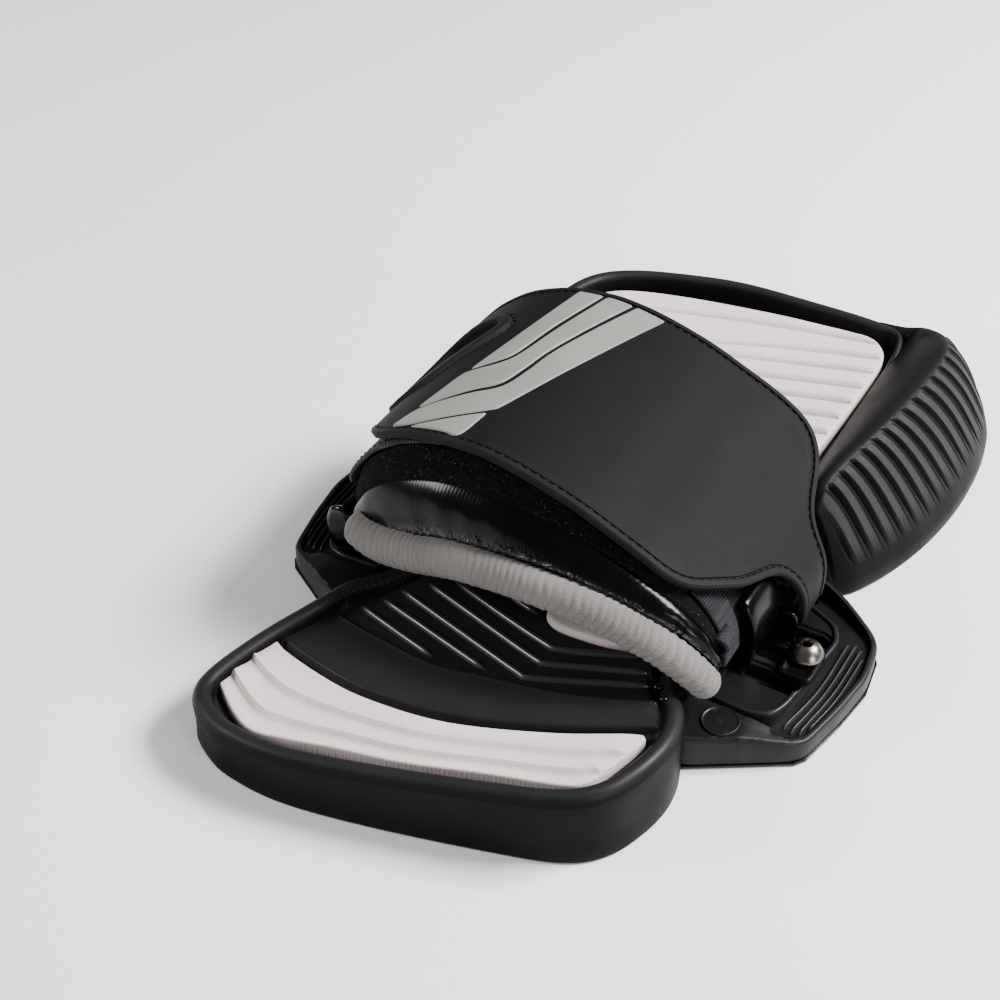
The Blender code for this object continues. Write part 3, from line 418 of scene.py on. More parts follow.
def bump(nt, bsdf, height, strength, dist, prev=None):
    b = add(nt, 'ShaderNodeBump')
    b.inputs['Strength'].default_value = strength
    b.inputs['Distance'].default_value = dist
    link(nt, height, b.inputs['Height'])
    if prev is not None:
        link(nt, prev, b.inputs['Normal'])
    link(nt, b.outputs['Normal'], bsdf.inputs['Normal'])
    return b.outputs['Normal']


def set_in(bsdf, **kw):
    for k, v in kw.items():
        bsdf.inputs[k.replace('_', ' ')].default_value = v


def edge_wear_and_highlight(nt, base, worn_and_lit, lo=0.52, hi=0.60, amount=0.6):
    """Lighter edges, by how convex the surface is: partly rubbed by use, partly a painted highlight."""
    g = add(nt, 'ShaderNodeNewGeometry')
    r = add(nt, 'ShaderNodeMapRange')
    r.inputs['From Min'].default_value = lo
    r.inputs['From Max'].default_value = hi
    link(nt, g.outputs['Pointiness'], r.inputs['Value'])
    n = noise(nt, coords(nt), 160, 4)
    f = math_node(nt, 'MULTIPLY', r.outputs['Result'], math_node(nt, 'MULTIPLY', n, amount))
    return mix_col(nt, f, base, worn_and_lit)


def crease(nt, base, dark, lo, hi):
    """Painted shade: darken where the surface is concave."""
    g = add(nt, 'ShaderNodeNewGeometry')
    r = add(nt, 'ShaderNodeMapRange')
    r.inputs['From Min'].default_value = lo
    r.inputs['From Max'].default_value = hi
    link(nt, g.outputs['Pointiness'], r.inputs['Value'])
    n = add(nt, 'ShaderNodeMix', data_type='RGBA', blend_type='MULTIPLY')
    link(nt, r.outputs['Result'], n.inputs['Factor'])
    link(nt, base, n.inputs['A'])
    n.inputs['B'].default_value = (*dark, 1)
    return n.outputs['Result']


def eva_black(name, knurl=False, weave=False):
    m, nt, b = nodes_of(name)
    v = coords(nt)
    base = ramp(nt, noise(nt, v, 28, 4), [(0.3, (0.0022, 0.0022, 0.0025)),
                                          (0.75, (0.0036, 0.0036, 0.0040))])
    # convex edges lighter: partly rubbed by use, partly a painted highlight
    base = edge_wear_and_highlight(nt, base, (0.022, 0.022, 0.023))
    # painted light: faces that look up are painted lighter, with a higher specular level, standing in for light
    # from above; the side walls stay deep black as painted shade
    g = add(nt, 'ShaderNodeNewGeometry')
    sep = add(nt, 'ShaderNodeSeparateXYZ')
    link(nt, g.outputs['Normal'], sep.inputs['Vector'])
    up = add(nt, 'ShaderNodeMapRange')
    up.inputs['From Min'].default_value = 0.25
    up.inputs['From Max'].default_value = 0.95
    link(nt, sep.outputs['Z'], up.inputs['Value'])
    lit_top_col = (0.0055, 0.0053, 0.0058) if weave else (0.0105, 0.0102, 0.0110)
    base = mix_col(nt, up.outputs['Result'], base, lit_top_col)
    # painted light: the woven rib faces are painted lighter, standing in for the light they catch
    if weave:
        wa = add(nt, 'ShaderNodeAttribute', attribute_name='weave')
        base = mix_col(nt, wa.outputs['Fac'], base, (0.026, 0.0255, 0.027))
    link(nt, base, b.inputs['Base Color'])
    link(nt, math_node(nt, 'ADD', math_node(nt, 'MULTIPLY', up.outputs['Result'],
                                            0.06 if weave else 0.13), 0.05),
         b.inputs['Specular IOR Level'])
    rough = ramp(nt, noise(nt, v, 60, 4), [(0.3, (0.42,) * 3), (0.7, (0.56,) * 3)])
    link(nt, rough, b.inputs['Roughness'])
    h = noise(nt, v, 2600, 2, 0.6)
    prev = bump(nt, b, h, 0.22, 0.0002)
    h2 = noise(nt, v, 420, 3, 0.5)
    prev = bump(nt, b, h2, 0.10, 0.0003, prev)
    if weave:
        # fine woven relief on the faces of the ribs
        w1 = add(nt, 'ShaderNodeTexWave', wave_type='BANDS', bands_direction='X')
        w1.inputs['Scale'].default_value = 420
        w2 = add(nt, 'ShaderNodeTexWave', wave_type='BANDS', bands_direction='X')
        w2.inputs['Scale'].default_value = 420
        link(nt, coords(nt, rot=(0.5, 0.4, 0.9)), w1.inputs['Vector'])
        link(nt, coords(nt, rot=(-0.4, 0.6, -0.8)), w2.inputs['Vector'])
        h3 = math_node(nt, 'MULTIPLY', w1.outputs['Fac'], w2.outputs['Fac'])
        at = add(nt, 'ShaderNodeAttribute', attribute_name='weave')
        h3 = math_node(nt, 'MULTIPLY', h3, at.outputs['Fac'])
        prev = bump(nt, b, h3, 0.5, 0.00035, prev)
    if knurl:
        w1 = add(nt, 'ShaderNodeTexWave', wave_type='BANDS', bands_direction='X')
        w1.inputs['Scale'].default_value = 150
        w2 = add(nt, 'ShaderNodeTexWave', wave_type='BANDS', bands_direction='X')
        w2.inputs['Scale'].default_value = 150
        w1.inputs['Scale'].default_value = 260
        w2.inputs['Scale'].default_value = 260
        link(nt, coords(nt, rot=(0, 0.5, 0.95)), w1.inputs['Vector'])
        link(nt, coords(nt, rot=(0, -0.5, -0.65)), w2.inputs['Vector'])
        h3 = math_node(nt, 'MULTIPLY', w1.outputs['Fac'], w2.outputs['Fac'])
        at = add(nt, 'ShaderNodeAttribute', attribute_name='knurl')
        h3 = math_node(nt, 'MULTIPLY', h3, at.outputs['Fac'])
        prev = bump(nt, b, h3, 0.45, 0.00035, prev)
    return m


def eva_light():
    m, nt, b = nodes_of("eva_light_v")
    v = coords(nt)
    c = ramp(nt, noise(nt, v, 35, 4), [(0.25, (0.63, 0.525, 0.52)),
                                       (0.75, (0.71, 0.605, 0.60))])
    d = ramp(nt, noise(nt, v, 900, 3), [(0.35, (0.88,) * 3), (0.6, (1.0,) * 3)])
    mul = add(nt, 'ShaderNodeMix', data_type='RGBA', blend_type='MULTIPLY')
    mul.inputs['Factor'].default_value = 0.6
    link(nt, c, mul.inputs['A'])
    link(nt, d, mul.inputs['B'])
    # sparse specks of dirt
    sp = ramp(nt, noise(nt, v, 210, 2), [(0.72, (0.0,) * 3), (0.80, (0.25,) * 3)])
    out = mix_col(nt, sp, mul.outputs['Result'], (0.38, 0.33, 0.32))
    # painted shade: the concave creases of the relief are darkened
    out = crease(nt, out, (0.74, 0.71, 0.71), 0.495, 0.455)
    link(nt, out, b.inputs['Base Color'])
    set_in(b, Roughness=0.72, Specular_IOR_Level=0.3, Subsurface_Weight=0.04,
           Subsurface_Scale=0.001)
    h = noise(nt, v, 2200, 2, 0.6)
    prev = bump(nt, b, h, 0.25, 0.0002)
    # fine cross-hatched micro weave
    w1 = add(nt, 'ShaderNodeTexWave', wave_type='BANDS', bands_direction='X')
    w1.inputs['Scale'].default_value = 320
    w2 = add(nt, 'ShaderNodeTexWave', wave_type='BANDS', bands_direction='Y')
    w2.inputs['Scale'].default_value = 320
    link(nt, coords(nt, rot=(0, 0, 0.5)), w1.inputs['Vector'])
    link(nt, coords(nt, rot=(0, 0, 0.3)), w2.inputs['Vector'])
    bump(nt, b, math_node(nt, 'MULTIPLY', w1.outputs['Fac'], w2.outputs['Fac']),
         0.22, 0.0003, prev)
    return m


def nylon(name, base, rough, gloss_var=0.1, grain=0.12, wear_and_highlight=0.5, spec=0.22):
    m, nt, b = nodes_of(name)
    v = coords(nt)
    c = ramp(nt, noise(nt, v, 30, 3), [(0.3, tuple(x * 0.8 for x in base)),
                                       (0.7, tuple(x * 1.2 for x in base))])
    # convex edges lighter: partly rubbed by use, partly a painted highlight
    c = edge_wear_and_highlight(nt, c, tuple(min(1, x * 3.5 + 0.02) for x in base), amount=wear_and_highlight)
    link(nt, c, b.inputs['Base Color'])
    r = ramp(nt, noise(nt, v, 90, 4), [(0.3, (rough - gloss_var / 2,) * 3),
                                       (0.7, (rough + gloss_var / 2,) * 3)])
    link(nt, r, b.inputs['Roughness'])
    set_in(b, Specular_IOR_Level=spec)
    prev = bump(nt, b, noise(nt, v, 1700, 2), grain, 0.00015)
    bump(nt, b, noise(nt, v, 90, 2), 0.06, 0.0006, prev)
    return m


def rubber_cover():
    m, nt, b = nodes_of("rubber_cover_v")
    v = coords(nt)
    c = ramp(nt, noise(nt, v, 45, 6, 0.7), [(0.3, (0.0044, 0.0041, 0.0047)),
                                            (0.7, (0.0062, 0.0058, 0.0066))])
    # convex edges lighter: partly rubbed by use, partly a painted highlight
    c = edge_wear_and_highlight(nt, c, (0.028, 0.026, 0.027), 0.52, 0.60, 0.6)
    link(nt, c, b.inputs['Base Color'])
    r = ramp(nt, noise(nt, v, 40, 5, 0.65), [(0.3, (0.60,) * 3), (0.7, (0.66,) * 3)])
    link(nt, r, b.inputs['Roughness'])
    set_in(b, Specular_IOR_Level=0.09)
    prev = bump(nt, b, noise(nt, v, 2400, 2, 0.7), 0.20, 0.00018)
    prev = bump(nt, b, noise(nt, v, 300, 4, 0.6), 0.06, 0.0003, prev)
    return m


def rubber_grey():
    m, nt, b = nodes_of("rubber_grey_v")
    v = coords(nt)
    c = ramp(nt, noise(nt, v, 30, 4), [(0.3, (0.165, 0.178, 0.160)),
                                       (0.7, (0.20, 0.213, 0.192))])
    d = ramp(nt, noise(nt, v, 500, 4), [(0.66, (0.0,) * 3), (0.74, (0.35,) * 3)])
    c = mix_col(nt, d, c, (0.27, 0.28, 0.26))
    link(nt, c, b.inputs['Base Color'])
    set_in(b, Roughness=0.55, Specular_IOR_Level=0.3)
    bump(nt, b, noise(nt, v, 2400, 2, 0.7), 0.2, 0.00018)
    return m


def steel():
    m, nt, b = nodes_of("steel_v")
    v = coords(nt)
    c = ramp(nt, noise(nt, v, 220, 3), [(0.3, (0.10, 0.088, 0.080)),
                                         (0.7, (0.22, 0.195, 0.175))])
    link(nt, c, b.inputs['Base Color'])
    r = ramp(nt, noise(nt, v, 500, 3), [(0.3, (0.22,) * 3), (0.7, (0.36,) * 3)])
    link(nt, r, b.inputs['Roughness'])
    set_in(b, Metallic=1.0)
    bump(nt, b, noise(nt, v, 900, 2), 0.12, 0.0001)
    return m


def mesh_weave():
    m, nt, b = nodes_of("mesh_weave_v")
    v = coords(nt)
    w1 = add(nt, 'ShaderNodeTexWave', wave_type='BANDS', bands_direction='X')
    w1.inputs['Scale'].default_value = 250
    w2 = add(nt, 'ShaderNodeTexWave', wave_type='BANDS', bands_direction='Y')
    w2.inputs['Scale'].default_value = 250
    for w, r in ((w1, (0, 0, 0.12)), (w2, (0, 0, 0.12))):
        w.inputs['Distortion'].default_value = 0.6
        w.inputs['Detail'].default_value = 1
        link(nt, coords(nt, rot=r), w.inputs['Vector'])
    dots = math_node(nt, 'MULTIPLY', w1.outputs['Fac'], w2.outputs['Fac'])
    c = ramp(nt, dots, [(0.10, (0.0075, 0.0070, 0.0085)), (0.75, (0.052, 0.050, 0.058))])
    n2 = ramp(nt, noise(nt, v, 900, 3), [(0.35, (0.40,) * 3), (0.65, (1.0,) * 3)])
    mul = add(nt, 'ShaderNodeMix', data_type='RGBA', blend_type='MULTIPLY')
    mul.inputs['Factor'].default_value = 0.85
    link(nt, c, mul.inputs['A'])
    link(nt, n2, mul.inputs['B'])
    link(nt, mul.outputs['Result'], b.inputs['Base Color'])
    set_in(b, Roughness=0.8, Sheen_Weight=0.12, Specular_IOR_Level=0.2)
    prev = bump(nt, b, dots, 0.8, 0.0006)
    bump(nt, b, noise(nt, v, 1500, 2), 0.3, 0.0003, prev)
    return m


def velvet():
    m, nt, b = nodes_of("loop_velvet_v")
    v = coords(nt)
    c = ramp(nt, noise(nt, v, 500, 4, 0.7), [(0.3, (0.0010, 0.0010, 0.0011)),
                                             (0.75, (0.0045, 0.0045, 0.0048))])
    lint = ramp(nt, noise(nt, v, 1500, 3, 0.75), [(0.645, (0.0,) * 3), (0.70, (1.0,) * 3)])
    c = mix_col(nt, lint, c, (0.15, 0.15, 0.155))
    link(nt, c, b.inputs['Base Color'])
    set_in(b, Roughness=0.95, Specular_IOR_Level=0.08)
    prev = bump(nt, b, noise(nt, v, 1400, 4, 0.8), 0.9, 0.0009)
    bump(nt, b, noise(nt, v, 160, 3), 0.3, 0.0012, prev)
    return m


def vinyl():
    m, nt, b = nodes_of("vinyl_black_v")
    v = coords(nt)
    c = ramp(nt, noise(nt, v, 40, 4), [(0.3, (0.0008, 0.0007, 0.0007)),
                                       (0.7, (0.0018, 0.0016, 0.0015))])
    link(nt, c, b.inputs['Base Color'])
    r = ramp(nt, noise(nt, v, 130, 4), [(0.3, (0.17,) * 3), (0.7, (0.25,) * 3)])
    link(nt, r, b.inputs['Roughness'])
    set_in(b, Specular_IOR_Level=0.15)
    w1 = add(nt, 'ShaderNodeTexWave', wave_type='BANDS', bands_direction='X')
    w1.inputs['Scale'].default_value = 260
    link(nt, coords(nt, rot=(0, 0.4, 0.5)), w1.inputs['Vector'])
    prev = bump(nt, b, w1.outputs['Fac'], 0.10, 0.0002)
    prev = bump(nt, b, noise(nt, v, 60, 3), 0.25, 0.0012, prev)
    at = add(nt, 'ShaderNodeAttribute', attribute_name='seam')
    h = math_node(nt, 'MULTIPLY', noise(nt, coords(nt, scale=(1.6, 1, 1)), 300, 3, 0.6),
                  at.outputs['Fac'])
    bump(nt, b, h, 1.0, 0.0026, prev)
    link(nt, math_node(nt, 'ADD', math_node(nt, 'MULTIPLY', at.outputs['Fac'], 0.55), 0.13),
         b.inputs['Specular IOR Level'])
    return m


def twill():
    m, nt, b = nodes_of("twill_grey_v")
    v = coords(nt)
    at = add(nt, 'ShaderNodeUVMap')
    mp = add(nt, 'ShaderNodeMapping')
    link(nt, at.outputs['UV'], mp.inputs['Vector'])
    uv = mp.outputs['Vector']

    def wave(rot, sc, dist=0.0):
        mp2 = add(nt, 'ShaderNodeMapping')
        mp2.inputs['Rotation'].default_value = (0, 0, rot)
        link(nt, uv, mp2.inputs['Vector'])
        w = add(nt, 'ShaderNodeTexWave', wave_type='BANDS', bands_direction='X')
        w.inputs['Scale'].default_value = sc
        w.inputs['Distortion'].default_value = dist
        w.inputs['Detail'].default_value = 1
        link(nt, mp2.outputs['Vector'], w.inputs['Vector'])
        return w.outputs['Fac']
    diag = wave(0.70, 0.60, 0.5)
    cross = wave(-0.9, 0.46, 0.3)
    fab = math_node(nt, 'MULTIPLY', math_node(nt, 'ADD', diag, 0.35), math_node(
        nt, 'ADD', math_node(nt, 'MULTIPLY', cross, 0.22), 0.8))
    c = ramp(nt, fab, [(0.1, (0.088, 0.081, 0.077)), (0.9, (0.245, 0.229, 0.218))])
    big = ramp(nt, noise(nt, v, 60, 3), [(0.3, (0.86,) * 3), (0.7, (1.0,) * 3)])
    mul = add(nt, 'ShaderNodeMix', data_type='RGBA', blend_type='MULTIPLY')
    mul.inputs['Factor'].default_value = 1.0
    link(nt, c, mul.inputs['A'])
    link(nt, big, mul.inputs['B'])
    # painted shade: the concave folds of the roll are darkened
    link(nt, crease(nt, mul.outputs['Result'], (0.55, 0.53, 0.52), 0.50, 0.46), b.inputs['Base Color'])
    set_in(b, Roughness=0.85, Specular_IOR_Level=0.2, Sheen_Weight=0.12,
           Sheen_Roughness=0.5)
    prev = bump(nt, b, fab, 0.7, 0.0005)
    bump(nt, b, noise(nt, v, 1500, 2), 0.25, 0.0003, prev)
    return m


def cloth_black(name, base=(0.004, 0.004, 0.0044), rough=0.85, scale=420, relief=0.5):
    m, nt, b = nodes_of(name)
    v = coords(nt)
    w1 = add(nt, 'ShaderNodeTexWave', wave_type='BANDS', bands_direction='X')
    w1.inputs['Scale'].default_value = scale
    w2 = add(nt, 'ShaderNodeTexWave', wave_type='BANDS', bands_direction='Y')
    w2.inputs['Scale'].default_value = scale
    link(nt, v, w1.inputs['Vector'])
    link(nt, v, w2.inputs['Vector'])
    h = math_node(nt, 'ADD', w1.outputs['Fac'], w2.outputs['Fac'])
    c = ramp(nt, noise(nt, v, 300, 4), [(0.3, tuple(x * 0.7 for x in base)),
                                        (0.7, tuple(x * 1.5 for x in base))])
    link(nt, c, b.inputs['Base Color'])
    set_in(b, Roughness=rough, Specular_IOR_Level=0.22)
    prev = bump(nt, b, h, relief, 0.0004)
    bump(nt, b, noise(nt, v, 900, 3), 0.3, 0.0004, prev)
    return m


M_EVA = eva_black("eva_black_v", knurl=True)
M_BUMP = eva_black("eva_bumper_v", weave=True)
M_LIGHT = eva_light()
M_NYLON = nylon("nylon_black_v", (0.0040, 0.0038, 0.0044), 0.42, 0.12, 0.16, 0.6, 0.17)
M_GLOSS = nylon("nylon_gloss_v", (0.0012, 0.0012, 0.0014), 0.17, 0.06, 0.05, 0.3, 0.30)
M_CHASSIS = nylon("nylon_chassis_v", (0.0052, 0.0047, 0.0056), 0.34, 0.10, 0.10, 0.6, 0.20)
# painted highlight: the chassis lip band is a lighter grey nylon, standing in for its glossy highlight line
M_LIP_HIGHLIGHT = nylon("nylon_lip_highlight_v", (0.020, 0.019, 0.021), 0.26, 0.08, 0.08, 0.6, 0.42)
# painted highlight: the plate's rim band is a lighter satin grey, standing in for the highlight along the rounded
# rim
M_RIM_HIGHLIGHT = nylon("nylon_rim_highlight_v", (0.012, 0.0117, 0.0127), 0.40, 0.10, 0.16, 0.8, 0.28)
M_EAR = nylon("nylon_ear_v", (0.0010, 0.0010, 0.0011), 0.22, 0.06, 0.05, 0.2, 0.13)
M_GASKET = nylon("gasket_v", (0.0016, 0.0016, 0.0016), 0.16, 0.06, 0.05, 0.2, 0.3)
# painted shade: the washers are near-black, standing in for the shadow over their tops
M_WASHER_SHADE = nylon("nylon_washer_shade_v", (0.0009, 0.0009, 0.0010), 0.40, 0.08, 0.08, 0.1, 0.10)
# painted highlight: the plate fins are a lighter grey than the black plate, standing in for the light along their
# crests
M_FIN_HIGHLIGHT = nylon("nylon_fin_highlight_v", (0.016, 0.0155, 0.0165), 0.30, 0.08, 0.08, 0.6, 0.40)
# painted highlight: the pad ridges are a lighter grey than the black EVA they are moulded from, standing in for the
# bright lines along their crests
M_RIDGE_HIGHLIGHT = nylon("eva_ridge_highlight_v", (0.016, 0.016, 0.017), 0.30, 0.10, 0.10, 0.6, 0.45)
M_COVER = rubber_cover()
M_GREY = rubber_grey()
M_STEEL = steel()
M_MESH = mesh_weave()
M_VELVET = velvet()
M_VINYL = vinyl()
M_TWILL = twill()
M_LINER = cloth_black("liner_cloth_v", (0.0042, 0.0042, 0.0045), 0.7, 300, 0.4)
M_WEB = cloth_black("webbing_v", (0.0062, 0.0056, 0.0078), 0.6, 420, 0.3)
M_THREAD = cloth_black("thread_v", (0.0045, 0.0045, 0.0045), 0.45, 900, 0.5)
M_HOOK = cloth_black("hook_tape_v", (0.006, 0.006, 0.006), 0.6, 240, 0.9)

# ============================================================= foot pad
PAD = [(-83, -107, 19), (-79.5, -118.5, 19.5), (-69, -126, 20),
       (-57, -129.5, 21), (-38, -130, 22.3), (-10, -125, 24.5),
       (27, -115.5, 27.3), (50, -108, 29), (62, -98.5, 30), (68.5, -83, 30.5),
       (70, -68, 30), (66, -54, 28), (58, -41, 23), (53, -25, 20), (52, 0, 20),
       (54, 22, 23), (58.5, 38, 28), (60.5, 52, 31.5), (61, 80, 31.5),
       (61, 110, 31.5), (61, 140, 32), (60.5, 158, 34), (56, 169.5, 35.5),
       (44, 173.5, 35.5), (15, 175, 35), (-15, 174, 35), (-42, 167, 35),
       (-59, 160, 35), (-70, 151, 35), (-76, 138, 35), (-78, 120, 35),
       (-77, 100, 34.5), (-74, 80, 33.5), (-69, 62, 31), (-60, 44, 26),
       (-54, 24, 21), (-52, 0, 18), (-53, -20, 17.5), (-59, -36, 18.5),
       (-66, -48, 20), (-71.5, -64, 20), (-79, -85, 19)]
HEEL_INSERT = [(-75, -81), (-78, -92), (-80, -101), (-77.5, -107), (-58, -120),
               (-44, -119.5), (-27, -116), (-4, -112), (21, -105), (45, -99),
               (52, -95), (55, -88), (59.5, -72.5), (57, -69), (35, -79),
               (11, -87.5), (-8, -91.5), (-32, -92), (-50, -89), (-66, -84.5)]
TOE_INSERT = [(53.5, 62), (54, 90), (55, 114), (55.5, 135), (55, 152),
              (51.5, 160.5), (43, 165.5), (18, 165), (-9, 161.5), (-37, 156),
              (-57, 149), (-66, 139), (-68, 120), (-67, 98), (-62, 76),
              (-54, 62), (-40, 55), (40, 55)]
ARCH_INSERT = [(3, -28.5), (5.5, -32), (12, -34.2), (30, -34), (42, -30),
               (46, -22), (45, 4), (40, 12), (28, 16), (10, 16), (2, 10),
               (1, -10), (1.5, -22)]
GROOVE_ARC = [(-72, -50), (-67, -57), (-56, -61), (-42, -64), (-20, -67.5), (-2, -65.5),
              (26, -61.5), (50, -54), (60, -48)]


def heel_floor(x):
    return 13.2 + 0.077 * (x + 70)


def heel_top(x):
    return 14.6 + 0.077 * (x + 76)


def toe_top(y):
    return 28.2 + 2.0 * smoothstep(60, 110, y)


pad_c = spline(PAD, 420, closed=True)
pad_h = pad_c[:, 2]
heel_loop = spline(HEEL_INSERT, 160, closed=True)
toe_loop = spline(TOE_INSERT, 160, closed=True)
arch_loop = spline(ARCH_INSERT, 90, closed=True)
groove = spline(GROOVE_ARC, 80)
HEEL_DIR = [tuple(p) for p in spline([(-80, -86), (-75, -81), (-66, -84.5), (-50, -89),
            (-32, -92), (-8, -91.5), (11, -87.5), (35, -79), (57, -69), (64, -66)], 90)]


def line_y(line, x):
    q = np.array(sorted(map(tuple, line)))
    return np.interp(x, q[:, 0], q[:, 1])


def pad_floor(P):
    """Height of the open floor of the pad, mm."""
    x, y = P[:, 0], P[:, 1]
    base = heel_floor(x) + (26.0 - heel_floor(x)) * smoothstep(12, 58, y)
    # raised smooth crescent between the heel insert and the groove line
    lip = line_y(HEEL_DIR, x) + 2.0
    gr = line_y(groove, x)
    u = y - lip
    t = np.clip(u / np.maximum(gr - lip, 4.0), 0, 1)
    cres = 2.3 - 1.5 * t + 0.75 * np.exp(-((u - 1.3) / 0.8) ** 2)
    up = smoothstep(-0.3, 0.9, u)
    down = 1 - smoothstep(gr - 0.5, gr + 0.9, y)
    bead = 0.55 * np.exp(-((y - gr + 1.0) / 0.7) ** 2)
    return base + (cres * down + bead) * up


def pad_top(P):
    z = pad_floor(P)
    for lp, depth in ((heel_loop, None), (toe_loop, None), (arch_loop, None)):
        w = 1.5 if lp is not arch_loop else 1.1
        big = inset(lp, -w)
        m = inside(P, big)
        d, _ = seg_dist(P, big)
        if lp is heel_loop:
            floor = heel_top(P[:, 0]) - 3.6
        elif lp is toe_loop:
            floor = toe_top(P[:, 1]) - 4.0
        else:
            floor = heel_floor(P[:, 0]) - 1.6
        k = smoothstep(0.0, 0.7, d) * m
        z = z * (1 - k) + floor * k
    return z


rim_sec = [(0.0, 4.4), (0.05, 3.5), (0.4, 2.3), (1.0, 1.3), (1.8, 0.5),
           (2.8, 0.08), (3.7, 0.0), (4.7, 0.2), (5.6, 0.75), (6.2, 1.6), (6.6, 2.8)]
rings = []
px_, py_ = pad_c[:, 0], pad_c[:, 1]
# the rim is narrower where the bumper leans over it, and along the toe edge
wf = 1 - 0.42 * smoothstep(50, 58, px_) * smoothstep(46, 56, py_) - 0.12 * smoothstep(158, 168, py_)
wf = 0.25 * np.roll(wf, 1) + 0.5 * wf + 0.25 * np.roll(wf, -1)
# the neck stands on the base plate, the heel and toe ends on the board
zb = 7.4 * smoothstep(-56.5, -54.5, py_) * (1 - smoothstep(45, 47, py_))


def pad_ring(d, z):
    q = inset(pad_c, d * wf)
    return np.column_stack([q, z])


rings.append(pad_ring(2.2, zb))
rings.append(pad_ring(0.9, zb))
rings.append(pad_ring(0.25, zb + 0.35))
rings.append(pad_ring(0.0, zb + 1.3))
for f in (0.2, 0.4, 0.6, 0.8, 1.0):
    # walls hollow in a little half way up
    rings.append(pad_ring(0.35 * math.sin(math.pi * f), zb + 1.3 + (pad_h - 4.4 - 1.3 - zb) * f))
for d, dz in rim_sec[1:]:
    rings.append(pad_ring(d, pad_h - dz))
q = inset(pad_c, 7.0 * wf)
foot = pad_floor(q)
last_z = np.minimum(pad_h - 3.8, np.maximum(foot, pad_h - 5.4))
rings.append(np.column_stack([q, last_z]))
inner = inset(pad_c, 7.6 * wf)
inner_z = np.where(pad_floor(inner) < last_z - 0.8, pad_floor(inner) + 0.3, last_z - 0.1)
keep_r = inner
hl = np.array(HEEL_DIR)
guide_lines = [np.column_stack([hl[:, 0], line_y(HEEL_DIR, hl[:, 0]) + k])
               for k in (1.5, 2.1, 2.7, 3.3, 4.0, 5.0)]
guide_lines += [np.column_stack([groove[:, 0], groove[:, 1] + k]) for k in (-1.8, -1.0, -0.3, 0.3, 1.0)]
for g, w in ((heel_loop, (1.5, 0.8)), (toe_loop, (1.5, 0.8)), (arch_loop, (1.1, 0.5))):
    for k in w:
        r_ = resample(inset(ccw(g), -k), 1.3)
        guide_lines.append(np.vstack([r_, r_[:1]]))
P, F = triangulate(keep_r, (), (), 2.2, lines=guide_lines)
used = np.unique(F)
remap = -np.ones(len(P), int)
remap[used] = np.arange(len(used))
P, F = P[used], remap[F]
Z = pad_top(P)
db, pos = seg_dist(P, keep_r)
edge = db < 1e-4
# the border of the field takes the height of the last ring
tree = {(round(float(a), 3), round(float(b), 3)): float(c)
        for (a, b), c in zip(keep_r, inner_z)}
for i in np.where(edge)[0]:
    Z[i] = tree.get((round(float(P[i, 0]), 3), round(float(P[i, 1]), 3)), Z[i])
verts = [tuple(p) for r in rings for p in r]
m = len(pad_c)
faces = []
for i in range(len(rings) - 1):
    for j in range(m):
        a, b = i * m + j, i * m + (j + 1) % m
        faces.append((a, b, b + m, a + m))
base = len(verts)
verts += [(P[i, 0], P[i, 1], Z[i]) for i in range(len(P))]
faces += [tuple(base + k for k in f) for f in F]
key = {(round(float(P[i, 0]), 3), round(float(P[i, 1]), 3)): base + i for i in np.where(edge)[0]}
last = (len(rings) - 1) * m
idx = [key.get((round(float(x), 3), round(float(y), 3))) for x, y in keep_r]
for j in range(m):
    a, b = idx[j], idx[(j + 1) % m]
    if a is not None and b is not None:
        faces.append((last + j, last + (j + 1) % m, b, a))
c = len(verts)
verts.append((0, 0, 7.4))
for j in range(m):
    faces.append((j, (j + 1) % m, c))
pad_v = mesh_obj("foot_pad", verts, faces, M_EVA, 50)
me = pad_v.data
co = np.array([v.co for v in me.vertices]) / MM
at = me.attributes.new("knurl", 'FLOAT', 'POINT')
dn, _ = seg_dist(co, pad_c)
zone = smoothstep(-66, -58, co[:, 1]) * (1 - smoothstep(-20, -12, co[:, 1])) \
    * smoothstep(36, 46, np.abs(co[:, 0])) * (1 - smoothstep(12, 17, dn))
at.data.foreach_set("value", zone.astype(np.float32))
put(pad_v, PAD_BODY, "eva_black", "footbed")
print("PAD", len(me.vertices), len(faces))

